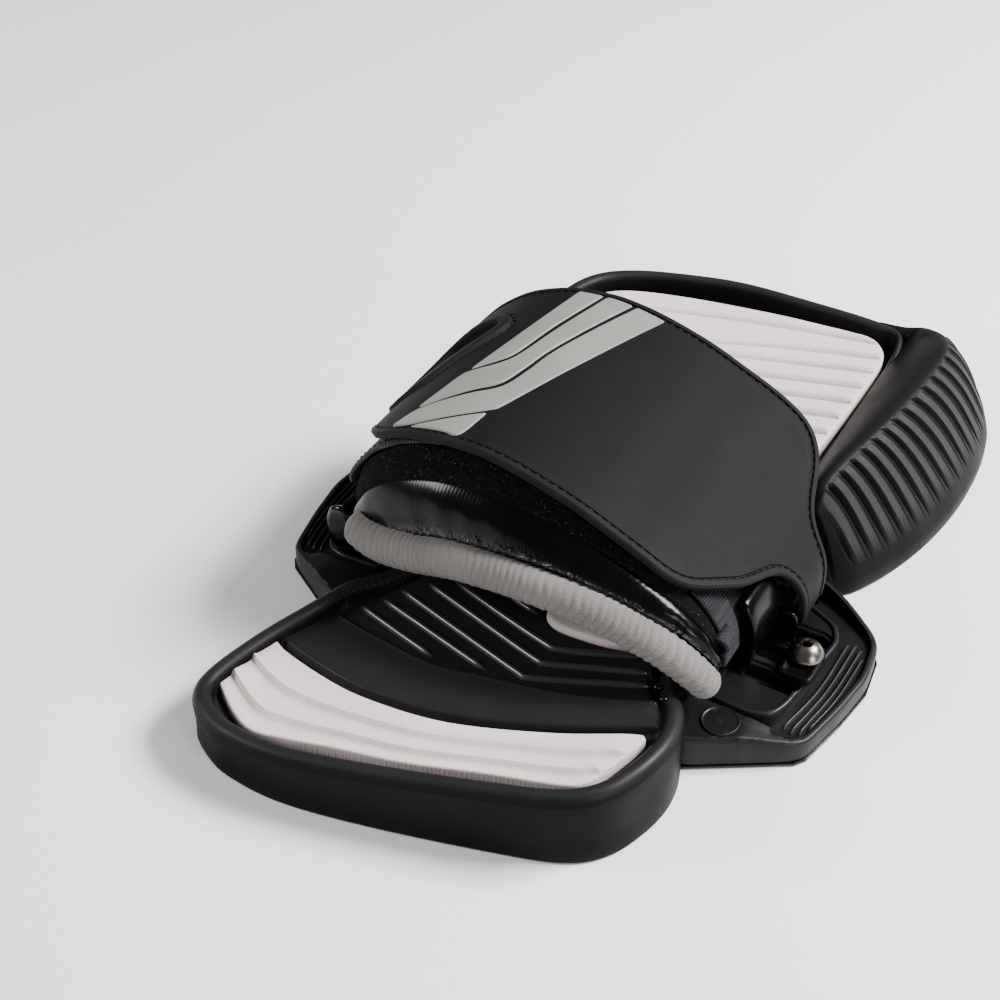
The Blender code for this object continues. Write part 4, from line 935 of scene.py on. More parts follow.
# raised ridges on the instep of the pad
RIDGES = [[(-58, -52), (-40, -58), (-21, -64)],
          [(-52, -46), (-27, -54), (-2, -62)],
          [(-49, -39), (-20, -49), (8, -58.5), (13, -59.2), (32, -52.5), (50, -46)],
          [(-42, -32), (-14, -42), (10, -50.3), (15, -50.8), (30, -46), (47, -40.5)],
          [(-34, -27), (-11, -35.5), (10, -42.4), (15, -43), (28, -39.2), (42, -34)],
          [(-25, -21), (-12, -26), (0, -30)],
          [(-22, -12), (-8, -17.5), (-1, -20)],
          [(-22, -3), (-9, -8), (-2, -10.5)],
          [(-22, 6), (-9, 1), (-2, -1.5)],
          [(-20, 15), (-8, 10.5), (0, 8)]]
obs = []
for k, r in enumerate(RIDGES):
    q = spline(r, max(24, int(2.0 * np.linalg.norm(np.diff(np.array(r), axis=0), axis=1).sum() / 3)))
    n = len(q)
    zf = pad_floor(q)
    e = np.minimum(np.arange(n), np.arange(n)[::-1]) / 3.0
    w = 1.15 * np.sqrt(np.clip(e, 0.02, 1))
    hgt = 1.35 * np.sqrt(np.clip(e, 0.02, 1))
    t = np.gradient(q, axis=0)
    t /= np.linalg.norm(t, axis=1)[:, None]
    nn = np.stack([-t[:, 1], t[:, 0]], 1)
    rings_r = []
    for i in range(n):
        ring = []
        for a, hh in ((-1.35, -0.6), (-1.0, 0.25), (-0.62, 0.72), (-0.3, 0.95), (0, 1.0),
                      (0.3, 0.95), (0.62, 0.72), (1.0, 0.25), (1.35, -0.6)):
            ring.append((q[i, 0] + nn[i, 0] * a * w[i], q[i, 1] + nn[i, 1] * a * w[i],
                         zf[i] + hh * hgt[i]))
        rings_r.append(ring)
    obs.append(loft(f"ridge_{k}", rings_r, M_GLOSS))
put(join("pad_ridges", obs), PAD_BODY, "eva_black")
# painted highlight: the ridges take the lighter grey material
bpy.data.objects["pad_ridges"].data.materials[0] = M_RIDGE_HIGHLIGHT

# two moulded dots at the ends of the ridges
obs = []
for x, y in ((52.5, -45.2), (57, -50.5), (47.5, -34.5)):
    zf = float(pad_floor(np.array([[x, y]]))[0])
    rr = []
    for r_, z_ in ((1.5, -0.6), (1.5, 0.2), (1.25, 0.7), (0.8, 1.0), (0.3, 1.12)):
        rr.append([(x + r_ * math.cos(a), y + r_ * math.sin(a), zf + z_ + 0.3)
                   for a in np.linspace(0, 2 * math.pi, 16, endpoint=False)])
    obs.append(loft("dot", rr, M_GLOSS))
put(join("pad_dots", obs), PAD_BODY, "eva_black")

# ------------------------------------------------------------ heel insert
T_side = [(-75, -81), (-66, -84.5), (-50, -89), (-32, -92), (-8, -91.5), (11, -87.5),
          (35, -79), (57, -69)]
H_side = [(-77.5, -107), (-58, -120), (-44, -119.5), (-27, -116), (-4, -112), (21, -105),
          (45, -99), (52, -95)]


def heel_v(P):
    """0 at the toe-side arc, 1 at the heel-side edge."""
    t = line_y(spline(T_side, 200), P[:, 0])
    h = line_y(spline(H_side, 200), P[:, 0])
    return np.clip((t - P[:, 1]) / np.maximum(t - h, 1.0), 0, 1)


def heel_relief(P):
    v = heel_v(P)
    z = np.zeros(len(P))
    for v0 in (0.36, 0.72):
        d = (v - v0) * 24.0                     # mm, positive to the heel
        z += 1.25 * np.exp(-(d / 0.8) ** 2) + 0.6 * smoothstep(-6.0, -0.4, d) * (d < 0)
        z += np.where(d >= 0, 0.55 - 1.25 * smoothstep(0.3, 1.5, d)
                      * (1 - 0.75 * smoothstep(2.0, 7.5, d)), 0) * (d < 8.0) * (d >= 0)
    return 0.62 * z


ht = spline(T_side, 120)
hh = np.column_stack([ht[:, 0], line_y(spline(H_side, 200), ht[:, 0])])
heel_lines = []
for v0 in (0.36, 0.72):
    for d in (-1.1, -0.55, 0.0, 0.55, 1.1, 1.8):
        f = v0 + d / 24.0
        heel_lines.append(ht + (hh - ht) * f)


h_in = ccw(heel_loop)


def heel_pt(P, off=0.0):
    d, _ = seg_dist(P, h_in)
    r = 0.8
    round_ = np.where(d < r, r - np.sqrt(np.maximum(r * r - (r - d) ** 2, 0)), 0)
    z = heel_top(P[:, 0]) + heel_relief(P) * (0.35 + 0.65 * smoothstep(0.2, 3.0, d)) * smoothstep(0, 0.7, d) - round_ + 0.75
    return np.column_stack([P, z])


hv = shell("heel_insert_top", h_in, heel_pt,
           lambda P: np.column_stack([P, heel_top(P[:, 0]) - 3.7]), M_LIGHT,
           guides=[resample(inset(h_in, d), 1.2) for d in (0.25, 0.6, 1.0)], step=1.3,
           lines=heel_lines)
put(hv, PAD_BODY, "eva_light", "heel_insert")

# ------------------------------------------------------------- toe insert
t_in = ccw(toe_loop)
CROSS = [((-25, 147), (48, 162)), ((-5, 134.5), (49, 151.5)), ((-30, 117), (52, 142)),
         ((-35, 104), (53, 131)), ((-40, 92), (53, 120)), ((-45, 80), (53, 109)),
         ((-45, 69), (53, 98)), ((-40, 60), (53, 87)), ((-20, 55), (53, 76))]


def toe_relief(P):
    z = np.zeros(len(P))
    for a, b in CROSS:
        a, b = np.array(a, float), np.array(b, float)
        t = (P[:, 0] - a[0]) / (b[0] - a[0])
        yl = a[1] + (b[1] - a[1]) * t + 1.8 * np.sin(np.clip(t, -1, 1) * math.pi)
        d = P[:, 1] - yl
        k = 0.35 + 0.65 * smoothstep(-0.5, 0.1, t)
        # scalloped steps: a crease, then a swell up to the next one
        z += (-1.25 * np.exp(-(d / 0.85) ** 2) + 1.0 * np.exp(-((d - 2.3) / 1.6) ** 2)
              + 0.25 * np.exp(-((d - 5.5) / 2.6) ** 2)) * k
    return z


toe_lines = []
for a, b in CROSS:
    a, b = np.array(a, float), np.array(b, float)
    xs_ = np.arange(-66, 56, 1.8)
    t = (xs_ - a[0]) / (b[0] - a[0])
    yl = a[1] + (b[1] - a[1]) * t + 1.8 * np.sin(np.clip(t, -1, 1) * math.pi)
    for k in (-1.6, -0.8, 0.0, 0.8, 1.6, 2.4):
        toe_lines.append(np.column_stack([xs_, yl + k]))


def toe_pt(P):
    d, _ = seg_dist(P, t_in)
    r = 1.2
    round_ = np.where(d < r, r - np.sqrt(np.maximum(r * r - (r - d) ** 2, 0)), 0)
    # the surface climbs towards the bumper side and the toe end
    rise = 0.9 * smoothstep(20, 56, P[:, 0]) + 0.6 * smoothstep(120, 165, P[:, 1])
    z = toe_top(P[:, 1]) + toe_relief(P) * smoothstep(0.3, 2.2, d) + rise - round_
    return np.column_stack([P, z])


tv = shell("toe_insert_top", t_in, toe_pt,
           lambda P: np.column_stack([P, toe_top(P[:, 1]) - 3.8]), M_LIGHT,
           guides=[resample(inset(t_in, d), 1.6) for d in (0.3, 0.8, 1.4)], step=1.7,
           lines=toe_lines)
put(tv, PAD_BODY, "eva_light", "toe_insert")

# ------------------------------------------------------------ arch insert
a_in = ccw(arch_loop)


def arch_pt(P):
    d, _ = seg_dist(P, a_in)
    r = 1.3
    round_ = np.where(d < r, r - np.sqrt(np.maximum(r * r - (r - d) ** 2, 0)), 0)
    rel = -0.35 * np.exp(-(((P[:, 1] + 8) % 9 - 4.5) / 0.9) ** 2) * smoothstep(2, 4, d)
    return np.column_stack([P, heel_floor(P[:, 0]) + 1.6 - round_ + rel])


av = shell("arch_insert_top", a_in, arch_pt,
           lambda P: np.column_stack([P, heel_floor(P[:, 0]) - 1.2]), M_LIGHT,
           guides=[resample(inset(a_in, d), 1.5) for d in (0.3, 0.8, 1.5)], step=1.8)
put(av, PAD_BODY, "eva_light", "arch_insert")

# ================================================================ bumper
BUMPER = [((62, 46.5), (67, 47.5, 37), (80, 48)),
          ((61.6, 53), (67.5, 55, 43), (85.5, 54)),
          ((61.4, 67), (69.2, 69, 45.2), (92.5, 69)),
          ((61.4, 85), (72, 87, 45.6), (98.5, 89)),
          ((61.4, 104), (74.6, 106, 45.5), (102, 111)),
          ((61.4, 123), (76.5, 126, 45), (102.6, 131)),
          ((61.4, 138), (77, 143, 44.3), (101.3, 149)),
          ((61.4, 149), (75.8, 156.5, 43), (98, 163.5)),
          ((61.4, 157), (72.3, 165.5, 41), (91, 175.5)),
          ((61.4, 162.5), (67.5, 169.8, 39.4), (79, 182)),
          ((61, 167.5), (62.8, 172.3, 37.6), (66.5, 182)),
          ((57.0, 168.0), (57.4, 171.6, 36.4), (58.4, 178.2)),
          ((51.5, 168.8), (51.4, 171.6, 35.7), (51.5, 174.8)),
          ((46.0, 169.6), (46.0, 171.6, 35.3), (46.0, 173.2))]
st = np.array([[*i, 31.5, *c, *o, 0] for i, c, o in BUMPER], float)
NB = 720
dense = spline(st, NB)
outer_arc = np.concatenate([[0], np.cumsum(np.linalg.norm(
    np.diff(dense[:, 6:8], axis=0), axis=1))])
total = outer_arc[-1]
HN = 64
hs = np.linspace(0, 1, HN)
fall_h = [0.0, 0.10, 0.30, 0.52, 0.74, 0.90, 0.985, 1.0]
fall_z = [0.0, 0.7, 5.0, 12.5, 22.5, 31.0, 37.5, 40.5]
fc = spline(list(zip(np.array(fall_h) * 28, fall_z)), HN)
fc[:, 0] = np.clip(fc[:, 0] / 28, 0, 1)
PITCH = 8.6


def tooth(f):
    """Groove share (0 to 1) over one pitch: a steep wall, then a long ramp."""
    return float(np.interp(f, [0, 0.05, 0.13, 0.38, 0.93, 1.0], [0.55, 0.95, 1.0, 0.0, 0.0, 0.55]))


rib_end = outer_arc[np.argmin(np.linalg.norm(dense[:, 6:8] - np.array([84.0, 179.5]), axis=1))]
rows, weave_and_lit_face_w = [], []
for k, s in enumerate(dense):
    I, Cr, O = s[0:3], s[3:6], s[6:9]
    sa = outer_arc[k]
    row, ww = [], []

    def put_pt(x, y, z, w=0.0):
        row.append((x, y, z))
        ww.append(w)
    reach = 3.9 * float(smoothstep(0, 10, sa) * smoothstep(1, 17, total - sa))
    taper = float(smoothstep(0, 22, total - sa))      # sinks into the rim at the toe end
    zA = 31.9 + 1.6 * (1 - taper)
    nrm_i = np.array([-1.0, 0.0]) * taper + np.array([0.0, -1.0]) * (1 - taper)
    A = I[:2] + nrm_i * reach
    put_pt(I[0] + 1.2, I[1] + 0.3, 0.0)
    put_pt(I[0] + 0.2, I[1] + 0.3, 0.6)
    put_pt(I[0] + 0.15, I[1] + 0.3, 27.6)
    put_pt(A[0], A[1], 28.4)
    put_pt(A[0], A[1], zA - 0.9)
    put_pt(A[0] + 0.15, A[1], zA - 0.3)
    put_pt(A[0] + 0.6, A[1], zA + 0.15)
    for f in np.linspace(0.07, 1.0, 16):
        zz = zA + 0.15 + (Cr[2] - zA - 0.15) * math.sin(f * math.pi / 2) ** 0.95
        put_pt(A[0] + 0.6 * (1 - f) + (Cr[0] - A[0]) * f, A[1] + (Cr[1] - A[1]) * f, zz)
    d = O[:2] - Cr[:2]
    L = np.linalg.norm(d)
    nx, ny = d / (L + 1e-9)
    for j in range(1, HN):
        h = fc[j, 0]
        z = Cr[2] - fc[j, 1] * (Cr[2] - 2.0) / 42.5
        hgt = j / (HN - 1)
        # convex ribs with a narrow crease between them; the phase drifts downwards
        ph = (sa - 9.5 * hgt) / PITCH + 0.2
        fr = ph - math.floor(ph)
        mask = float(smoothstep(0.045, 0.10, hgt)) * (1 - max(0.0, min(1.0, (hgt - 0.22) / 0.62)) ** 1.6)
        mask *= float(smoothstep(2, 6, sa) * (1 - smoothstep(rib_end - 4, rib_end, sa)))
        lip_ = float(np.exp(-((fr - 0.88) / 0.055) ** 2))
        face = float(smoothstep(0.36, 0.42, fr) * (1 - smoothstep(0.78, 0.84, fr)))
        deep = -3.3 * max(0.0, tooth(fr) - (1 - mask)) + min(1.0, 2 * mask) * (0.40 * lip_ - 0.25 * face)
        up = max(0.0, 1 - 1.25 * hgt)
        put_pt(Cr[0] + h * d[0] + nx * deep * (1 - 0.5 * up),
               Cr[1] + h * d[1] + ny * deep * (1 - 0.5 * up), z + deep * up * 0.85,
               min(1.0, 2 * mask) * face)
    put_pt(O[0], O[1], 1.4)
    put_pt(O[0] - 0.4 * nx, O[1] - 0.4 * ny, 0.35)
    put_pt(O[0] - 1.2 * nx, O[1] - 1.2 * ny, 0.0)
    rows.append(row)
    weave_and_lit_face_w += ww
# round the heel-side end by pulling the first rows in towards their middle
for k in range(0, 33):
    f = 1 - math.sqrt(max(0.0, 1 - ((33 - k) / 33.0) ** 2))
    cen = np.mean(np.array(rows[k]), 0)
    rows[k] = [tuple(np.array(p) + (cen - np.array(p)) * np.array([0.28, 0, 0.20]) * f)
               if p[2] > 1.0 else p for p in rows[k]]
bv = loft("toe_bumper_ribbed", rows, M_BUMP)
# the weave attribute marks the woven rib faces, for their weave bump and their painted light (a lighter colour)
at = bv.data.attributes.new("weave", 'FLOAT', 'POINT')
vals = np.zeros(len(bv.data.vertices), np.float32)
vals[:len(weave_and_lit_face_w)] = weave_and_lit_face_w
at.data.foreach_set("value", vals)
put(bv, PAD_BODY, "eva_black", "toe_bumper")
print("BUMPER", len(bv.data.vertices))

# ============================================================ strap surfaces
HINGE = (75.6, 20.6)
SLEEVE_R = 5.1
COVER_T = 2.4
COVER_PROFILE = [(80.7, 26), (79.6, 32), (77, 36.7), (74, 40.2), (71, 43.4),
                 (67.5, 47), (62, 51.6), (55, 56.2), (42, 64.4), (31, 69.7),
                 (16, 76.3), (0, 81.3), (-12, 83.8), (-23, 84.6), (-38, 82.9),
                 (-53, 77.8), (-64, 70.8), (-70, 65), (-76, 57), (-81, 46.8)]
COVER_EDGES = [(72.4, 10, 27), (80.7, 9.8, 27), (79.6, 9.3, 28.5), (77, 8.2, 31),
               (74, 7, 33), (71.2, 5, 35.5), (69.6, -3, 38.5), (68.3, -11, 43),
               (66.5, -15, 53), (62.5, -20, 62), (56, -31, 69), (49, -35, 70),
               (42, -35.5, 69.5), (0, -35.5, 69), (-38, -34.5, 68),
               (-56, -32, 66.5), (-64, -29.5, 65), (-70, -22, 61),
               (-76, -12, 54), (-81, -3, 43)]
sleeve = [(HINGE[0] + SLEEVE_R * math.cos(a), HINGE[1] + SLEEVE_R * math.sin(a))
          for a in np.radians(np.arange(218, 360, 5))]
cover_path = np.vstack([sleeve, spline(COVER_PROFILE, 330)])
# smooth the joint between the sleeve and the strap
for _ in range(6):
    cover_path[1:-1] = 0.25 * cover_path[:-2] + 0.5 * cover_path[1:-1] + 0.25 * cover_path[2:]


def frames_of(path):
    d = np.gradient(path, axis=0)
    d /= np.linalg.norm(d, axis=1)[:, None]
    return np.stack([d[:, 1], -d[:, 0]], 1)


def arc_of(path):
    return np.concatenate([[0], np.cumsum(np.linalg.norm(np.diff(path, axis=0), axis=1))])


cover_n = frames_of(cover_path)
cover_s = arc_of(cover_path)
S_END = cover_s[-1]


def s_at_x(x, after=14.0):
    for i in range(len(cover_path) - 1):
        if cover_s[i] < after:
            continue
        a, b = cover_path[i, 0], cover_path[i + 1, 0]
        if (a - x) * (b - x) <= 0 and a != b:
            return cover_s[i] + (a - x) / (a - b) * (cover_s[i + 1] - cover_s[i])
    return cover_s[-1]


sx = s_at_x


def surf(path, arc, nrm):
    def f(P, off):
        s, y = P[:, 0], P[:, 1]
        x = np.interp(s, arc, path[:, 0])
        z = np.interp(s, arc, path[:, 1])
        nx = np.interp(s, arc, nrm[:, 0])
        nz = np.interp(s, arc, nrm[:, 1])
        L = np.hypot(nx, nz)
        return np.column_stack([x + off * nx / L, y, z + off * nz / L])
    return f


on_cover = surf(cover_path, cover_s, cover_n)
edge_s = [0.0, 11.5, 17.5] + [s_at_x(e[0]) for e in COVER_EDGES[3:]]
edge_s = np.maximum.accumulate(edge_s)
edge_s[-1] = S_END


def smooth_run(v, passes):
    v = v.copy()
    for _ in range(passes):
        v[1:-1] = 0.25 * v[:-2] + 0.5 * v[1:-1] + 0.25 * v[2:]
    return v


ss = np.linspace(0, S_END, 220)
y0s = smooth_run(np.interp(ss, edge_s, [e[1] for e in COVER_EDGES]), 14)
y1s = smooth_run(np.interp(ss, edge_s, [e[2] for e in COVER_EDGES]), 14)
poly = np.vstack([np.column_stack([ss, y0s]), np.column_stack([ss, y1s])[::-1]])
poly = resample(poly, 1.0)
keep = poly[:, 0] < 3
cover_loop = ccw(soften(poly, 22, keep))
HOLE_SY = [(S_END - 14.5, 4), (S_END - 13, 20), (S_END - 14.5, 33),
           (S_END - 19, 39.5), (S_END - 30, 43), (S_END - 37.5, 43.5),
           (S_END - 41, 39.5), (S_END - 38, 32), (S_END - 31, 19),
           (S_END - 25, 7), (S_END - 19.5, 2.5)]
hole = ccw(spline(HOLE_SY, 110, closed=True))


def rim_height(d):
    z = 0.30 * smoothstep(0.1, 0.7, d) - 0.35 * (1 - smoothstep(0, 0.5, d))
    z = z - 0.30 * smoothstep(2.4, 2.7, d) - 0.60 * smoothstep(2.4, 2.7, d) * (
        1 - smoothstep(3.3, 3.6, d))
    return z


def cover_top(P):
    d, _ = seg_dist(P, cover_loop)
    dh, _ = seg_dist(P, hole)
    sleeve_zone = 1 - smoothstep(4, 9, P[:, 0])
    off = rim_height(d) * (1 - sleeve_zone)
    # groove round the raised frame of the finger hole
    off -= 0.65 * smoothstep(5.0, 5.4, dh) * (1 - smoothstep(6.3, 6.8, dh))
    return on_cover(P, off)


cv = shell("strap_cover_outer", cover_loop, cover_top,
           lambda P: on_cover(P, np.full(len(P), -COVER_T)
                              + 0.3 * (1 - smoothstep(0, 0.8, seg_dist(P, cover_loop)[0]))),
           M_COVER, holes=[hole],
           guides=[resample(inset(cover_loop, d), 1.3) for d in (0.3, 0.7, 2.4, 2.7, 3.3, 3.6)]
           + [resample(inset(hole, -d), 1.3) for d in (5.0, 5.4, 6.3, 6.8)],
           step=2.6, sharp=38)
put(cv, COVER_BODY, "rubber_cover", "strap_cover")
print("COVER", len(cv.data.vertices))

# raised frame of the finger hole
f_out = ccw(resample(inset(hole, -5.0), 1.0))


def frame_top(P):
    d1, _ = seg_dist(P, f_out)
    d2, _ = seg_dist(P, hole)
    d = np.minimum(d1, d2)
    return on_cover(P, -0.1 + 1.35 * smoothstep(-0.2, 0.9, d))


fv = shell("finger_hole_frame", f_out, frame_top,
           lambda P: on_cover(P, np.full(len(P), -0.6)), M_COVER, holes=[hole],
           guides=[resample(inset(hole, -d), 1.1) for d in (0.3, 0.7, 1.1, 3.9, 4.3, 4.7)],
           step=1.6)
put(fv, COVER_BODY, "rubber_cover", "finger_frame")


def stitch(name, loop, off, body, mat=M_THREAD, surface=None, **kw):
    surface = surface or on_cover
    P3 = surface(loop, np.full(len(loop), off))
    N3 = surface(loop, np.full(len(loop), off + 1.0)) - P3
    ob = dashes(name, P3, N3, mat, **kw)
    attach(ob, body)
    return ob


lp = inset(cover_loop, 3.0)
lp = lp[lp[:, 0] > 8]
k = np.argmax(np.linalg.norm(np.diff(np.vstack([lp, lp[:1]]), axis=0), axis=1))
lp = np.roll(lp, -(k + 1), axis=0)
stitch("cover_stitching", lp, -0.42, COVER_BODY, width=0.38, height=0.34)
stitch("frame_stitching", inset(hole, -5.85), -0.55, COVER_BODY)

# ----------------------------------------------------------- grey inlays
def poly_inlay(name, upper, lower, node):
    """A band between two lines given as (x, y) on the top of the cover."""
    def run(line):
        q = spline(line, 60)
        return np.array([(s_at_x(x), y) for x, y in q])
    a, b = run(upper), run(lower)
    loop = ccw(soften(resample(np.vstack([a, b[::-1]]), 0.7), 1))

    def top(P):
        d, _ = seg_dist(P, loop)
        return on_cover(P, 0.0 + 0.50 * smoothstep(-0.1, 0.5, d))
    ob = shell(name, loop, top, lambda P: on_cover(P, np.full(len(P), -0.35)), M_GREY,
               guides=[resample(inset(loop, 0.45), 0.8)], step=2.0)
    put(ob, COVER_BODY, "rubber_grey", node)


poly_inlay("grey_band_1",
           [(-35.3, 65.2), (-41.4, 36.6), (-47.6, 8.4)],
           [(-25.6, 65.2), (-32.3, 40.4), (-35.6, 23.9), (-37.6, 17.8), (-41.0, 13.8), (-47.6, 8.1)],
           "stripe_1")
poly_inlay("grey_band_2",
           [(-24.0, 65.2), (-30.7, 39.6), (-34.2, 23.4), (-36.4, 16.6), (-40.0, 12.0), (-46.4, 7.2),
            (-49.2, 3.5), (-53.6, -16.2)],
           [(-13.9, 65.2), (-25.7, 28.0), (-28.8, 13.0), (-32.2, 1.2), (-40.5, -5.8), (-53.4, -16.6)],
           "stripe_2")
poly_inlay("grey_band_3",
           [(-12.3, 65.2), (-24.4, 27.5), (-27.4, 11.6), (-30.8, -0.3), (-39.5, -7.5), (-52.4, -17.6),
            (-57.0, -26.5)],
           [(-1.2, 65.2), (-13.5, 25.3), (-24.2, -8.5), (-27.6, -14.0), (-38.3, -21.6), (-49.5, -27.6),
            (-56.6, -28.2)],
           "stripe_3")
poly_inlay("grey_band_4",
           [(-27.6, -15.8), (-38.6, -23.3), (-49.0, -29.0)],
           [(-27.4, -16.4), (-29.6, -30.2), (-36.0, -30.4), (-48.8, -29.4)],
           "stripe_4")

# =============================================================== under strap
HOOK_T, GAP, MESH_T = 0.8, 0.35, 1.6
MESH_OFF = -(COVER_T + 2 * GAP + HOOK_T) - 0.4
long_path = COVER_PROFILE[7:] + [(-84.0, 38.5)]
lpz = spline(long_path, 200)
lpn = frames_of(lpz)
mesh_path = lpz + MESH_OFF * lpn
ok = mesh_path[:, 0] <= 46
mesh_path = mesh_path[ok]
mesh_n = frames_of(mesh_path)
mesh_s = arc_of(mesh_path)
ME = mesh_s[-1]
on_mesh = surf(mesh_path, mesh_s, mesh_n)


def liner_toe(x):
    return np.interp(x, [-72, -60, -30, 30, 44, 54, 60, 63.5, 66],
                     [50, 57.5, 61, 62, 60, 50, 38, 30, 26])


up = []
for s_ in np.linspace(0, ME, 90):
    x = np.interp(s_, mesh_s, mesh_path[:, 0])
    z = np.interp(s_, mesh_s, mesh_path[:, 1])
    low = float(smoothstep(0, 1, (58 - z) / 22)) if x < 0 else 0.0
    up.append((s_, min(60.0, float(liner_toe(x)) - 1.0) - 12.5 * low, -30.3 + 3.5 * low))
toe_e = [(a, b) for a, b, c in up if a < ME - 13]
heel_e = [(a, c) for a, b, c in up if a < ME - 11]
yt = toe_e[-1][1]
tail = [(ME - 9, yt - 1.5), (ME - 3.5, yt - 5), (ME - 0.3, yt - 10), (ME, 30), (ME, 20),
        (ME - 1.5, 17.3), (ME - 9, 16.6), (ME - 15, 16), (ME - 18, 13.8), (ME - 18.8, 11),
        (ME - 18, 8.2), (ME - 15, 6), (ME - 9, 5.4), (ME - 1.5, 4.7), (ME, 2), (ME, -12),
        (ME - 0.6, -18), (ME - 3.5, -23.3), (ME - 7.5, -26)]
outline = np.array(toe_e + tail + heel_e[::-1])
mesh_loop = ccw(soften(resample(outline, 1.0), 8, None))
# the finger hole goes through the mesh strap too
hole3 = on_cover(hole, np.full(len(hole), -6.0))
hs_ = []
for p in hole3:
    k = np.argmin((mesh_path[:, 0] - p[0]) ** 2 + (mesh_path[:, 1] - p[2]) ** 2)
    hs_.append((mesh_s[k], p[1]))
m_hole = ccw(soften(resample(inset(ccw(soften(resample(np.array(hs_), 1.0), 6)), -1.2), 1.0), 4))


def um_top(P):
    d, _ = seg_dist(P, mesh_loop)
    return on_mesh(P, -0.55 * (1 - smoothstep(0, 0.8, d))
                   + 0.18 * np.sin(P[:, 0] / 9.0 + P[:, 1] / 14.0))


um = shell("mesh_under_strap", mesh_loop, um_top,
           lambda P: on_mesh(P, np.full(len(P), -MESH_T)
                             + 0.3 * (1 - smoothstep(0, 0.8, seg_dist(P, mesh_loop)[0]))),
           M_MESH, holes=[m_hole],
           guides=[resample(inset(mesh_loop, d), 1.3) for d in (0.4, 0.9, 3.0)], step=2.6)
put(um, PAD_BODY, "mesh_weave", "under_strap")
stitch("mesh_edge_stitching", inset(mesh_loop, 3.0), -0.05, PAD_BODY, M_THREAD, on_mesh,
       length=1.8, gap=1.2, width=0.4, height=0.3)

# leg straps round the anchor bar
LBAR = (-79.0, 25.5)
legp = [(p[0] - (MESH_T + 0.4) * n[0], p[1] - (MESH_T + 0.4) * n[1])
        for p, n in zip(spline(long_path, 38) + MESH_OFF * frames_of(spline(long_path, 38)),
                        frames_of(spline(long_path, 38))) if p[0] < 0 and p[1] < 57]
legp = legp[::2]
legp[-1] = (legp[-1][0] + 0.6, legp[-1][1] - 2.0)
legp.append((-81.9, 30.0))
arc_l = [(LBAR[0] + 4.1 * math.cos(a), LBAR[1] + 4.1 * math.sin(a))
         for a in np.radians(np.arange(170, 371, 11))]
leg_path = spline(legp + arc_l + [(-74.8, 29.0), (-75.4, 32.5)], 110)
leg_n = frames_of(leg_path)
leg_s = arc_of(leg_path)
on_leg = surf(leg_path, leg_s, leg_n)
for word, (a, b) in {"heel": (-25.5, 3.5), "toe": (18.5, 43.5)}.items():
    lpz_ = resample(np.array([(0, a + 1), (0, b - 1), (leg_s[-1], b - 1), (leg_s[-1], a + 1)])
                    if False else np.array([(0, a), (leg_s[-1], a), (leg_s[-1], b), (0, b)],
                                           float), 1.2)
    lpz_ = ccw(soften(lpz_, 2))
    ob = shell(f"{word}_leg_velvet", lpz_,
               lambda P, l=lpz_: on_leg(P, -0.45 * (1 - smoothstep(0, 0.9, seg_dist(P, l)[0]))),
               lambda P: on_leg(P, np.full(len(P), -1.5)), M_VELVET,
               guides=[resample(inset(lpz_, d), 1.5) for d in (0.5, 1.0)], step=2.4)
    put(ob, PAD_BODY, "loop_velvet", f"{word}_leg_strap")

# ==================================================================== liner
LINER_T, ROLL_R, TOE_ROLL_R = 4.0, 6.0, 5.0
LINER_PROFILE = [(66, 20), (66, 28), (64, 36), (59.5, 43.5), (52, 50.4),
                 (41, 57.8), (29.5, 63.6), (15, 69.9), (0, 74.8), (-12, 77.5),
                 (-23, 78.3), (-37, 76.7), (-51, 71.8), (-60.5, 65),
                 (-66.7, 57), (-69.5, 48), (-70.7, 40), (-71, 31)]
ROLL_PATH = [(68.5, -37.5, 22.5), (62, -41, 31), (53.5, -44, 38.5),
             (43, -46.5, 44), (32, -48, 47.8), (17, -49, 50), (3, -49, 50),
             (-12, -48, 48.2), (-24, -47, 45.7), (-40, -44.5, 39.5),
             (-56, -41, 34.6), (-69, -37.5, 35)]
NL = 150
liner = spline(LINER_PROFILE, NL)
liner_n = frames_of(liner)
roll = spline(ROLL_PATH, NL)


def bez(a, b, c, t):
    return (1 - t) ** 2 * a + 2 * t * (1 - t) * b + t * t * c


def lip(i, w, off=0.0):
    a = np.array([liner[i, 0], -28.5, liner[i, 1]])
    r = roll[i]
    out = np.array([liner_n[i, 0], 0, liner_n[i, 1]])
    d = a + out * 0.2 * np.linalg.norm(a - r) - r
    e = r + d / np.linalg.norm(d) * (ROLL_R + 0.6)
    span = np.linalg.norm(a - e)
    mid = (a + e) / 2 + out * 0.2 * span + np.array([0, -0.12 * span, 0])
    p = bez(a, mid, e, w)
    tan = bez(a, mid, e, min(1, w + 0.02)) - bez(a, mid, e, max(0, w - 0.02))
    tan /= np.linalg.norm(tan)
    nrm = out - tan * np.dot(out, tan)
    nrm = nrm + np.array([0, -1.0, 0]) * w * 0.6
    nrm -= tan * np.dot(nrm, tan)
    nrm /= np.linalg.norm(nrm)
    return p + off * nrm


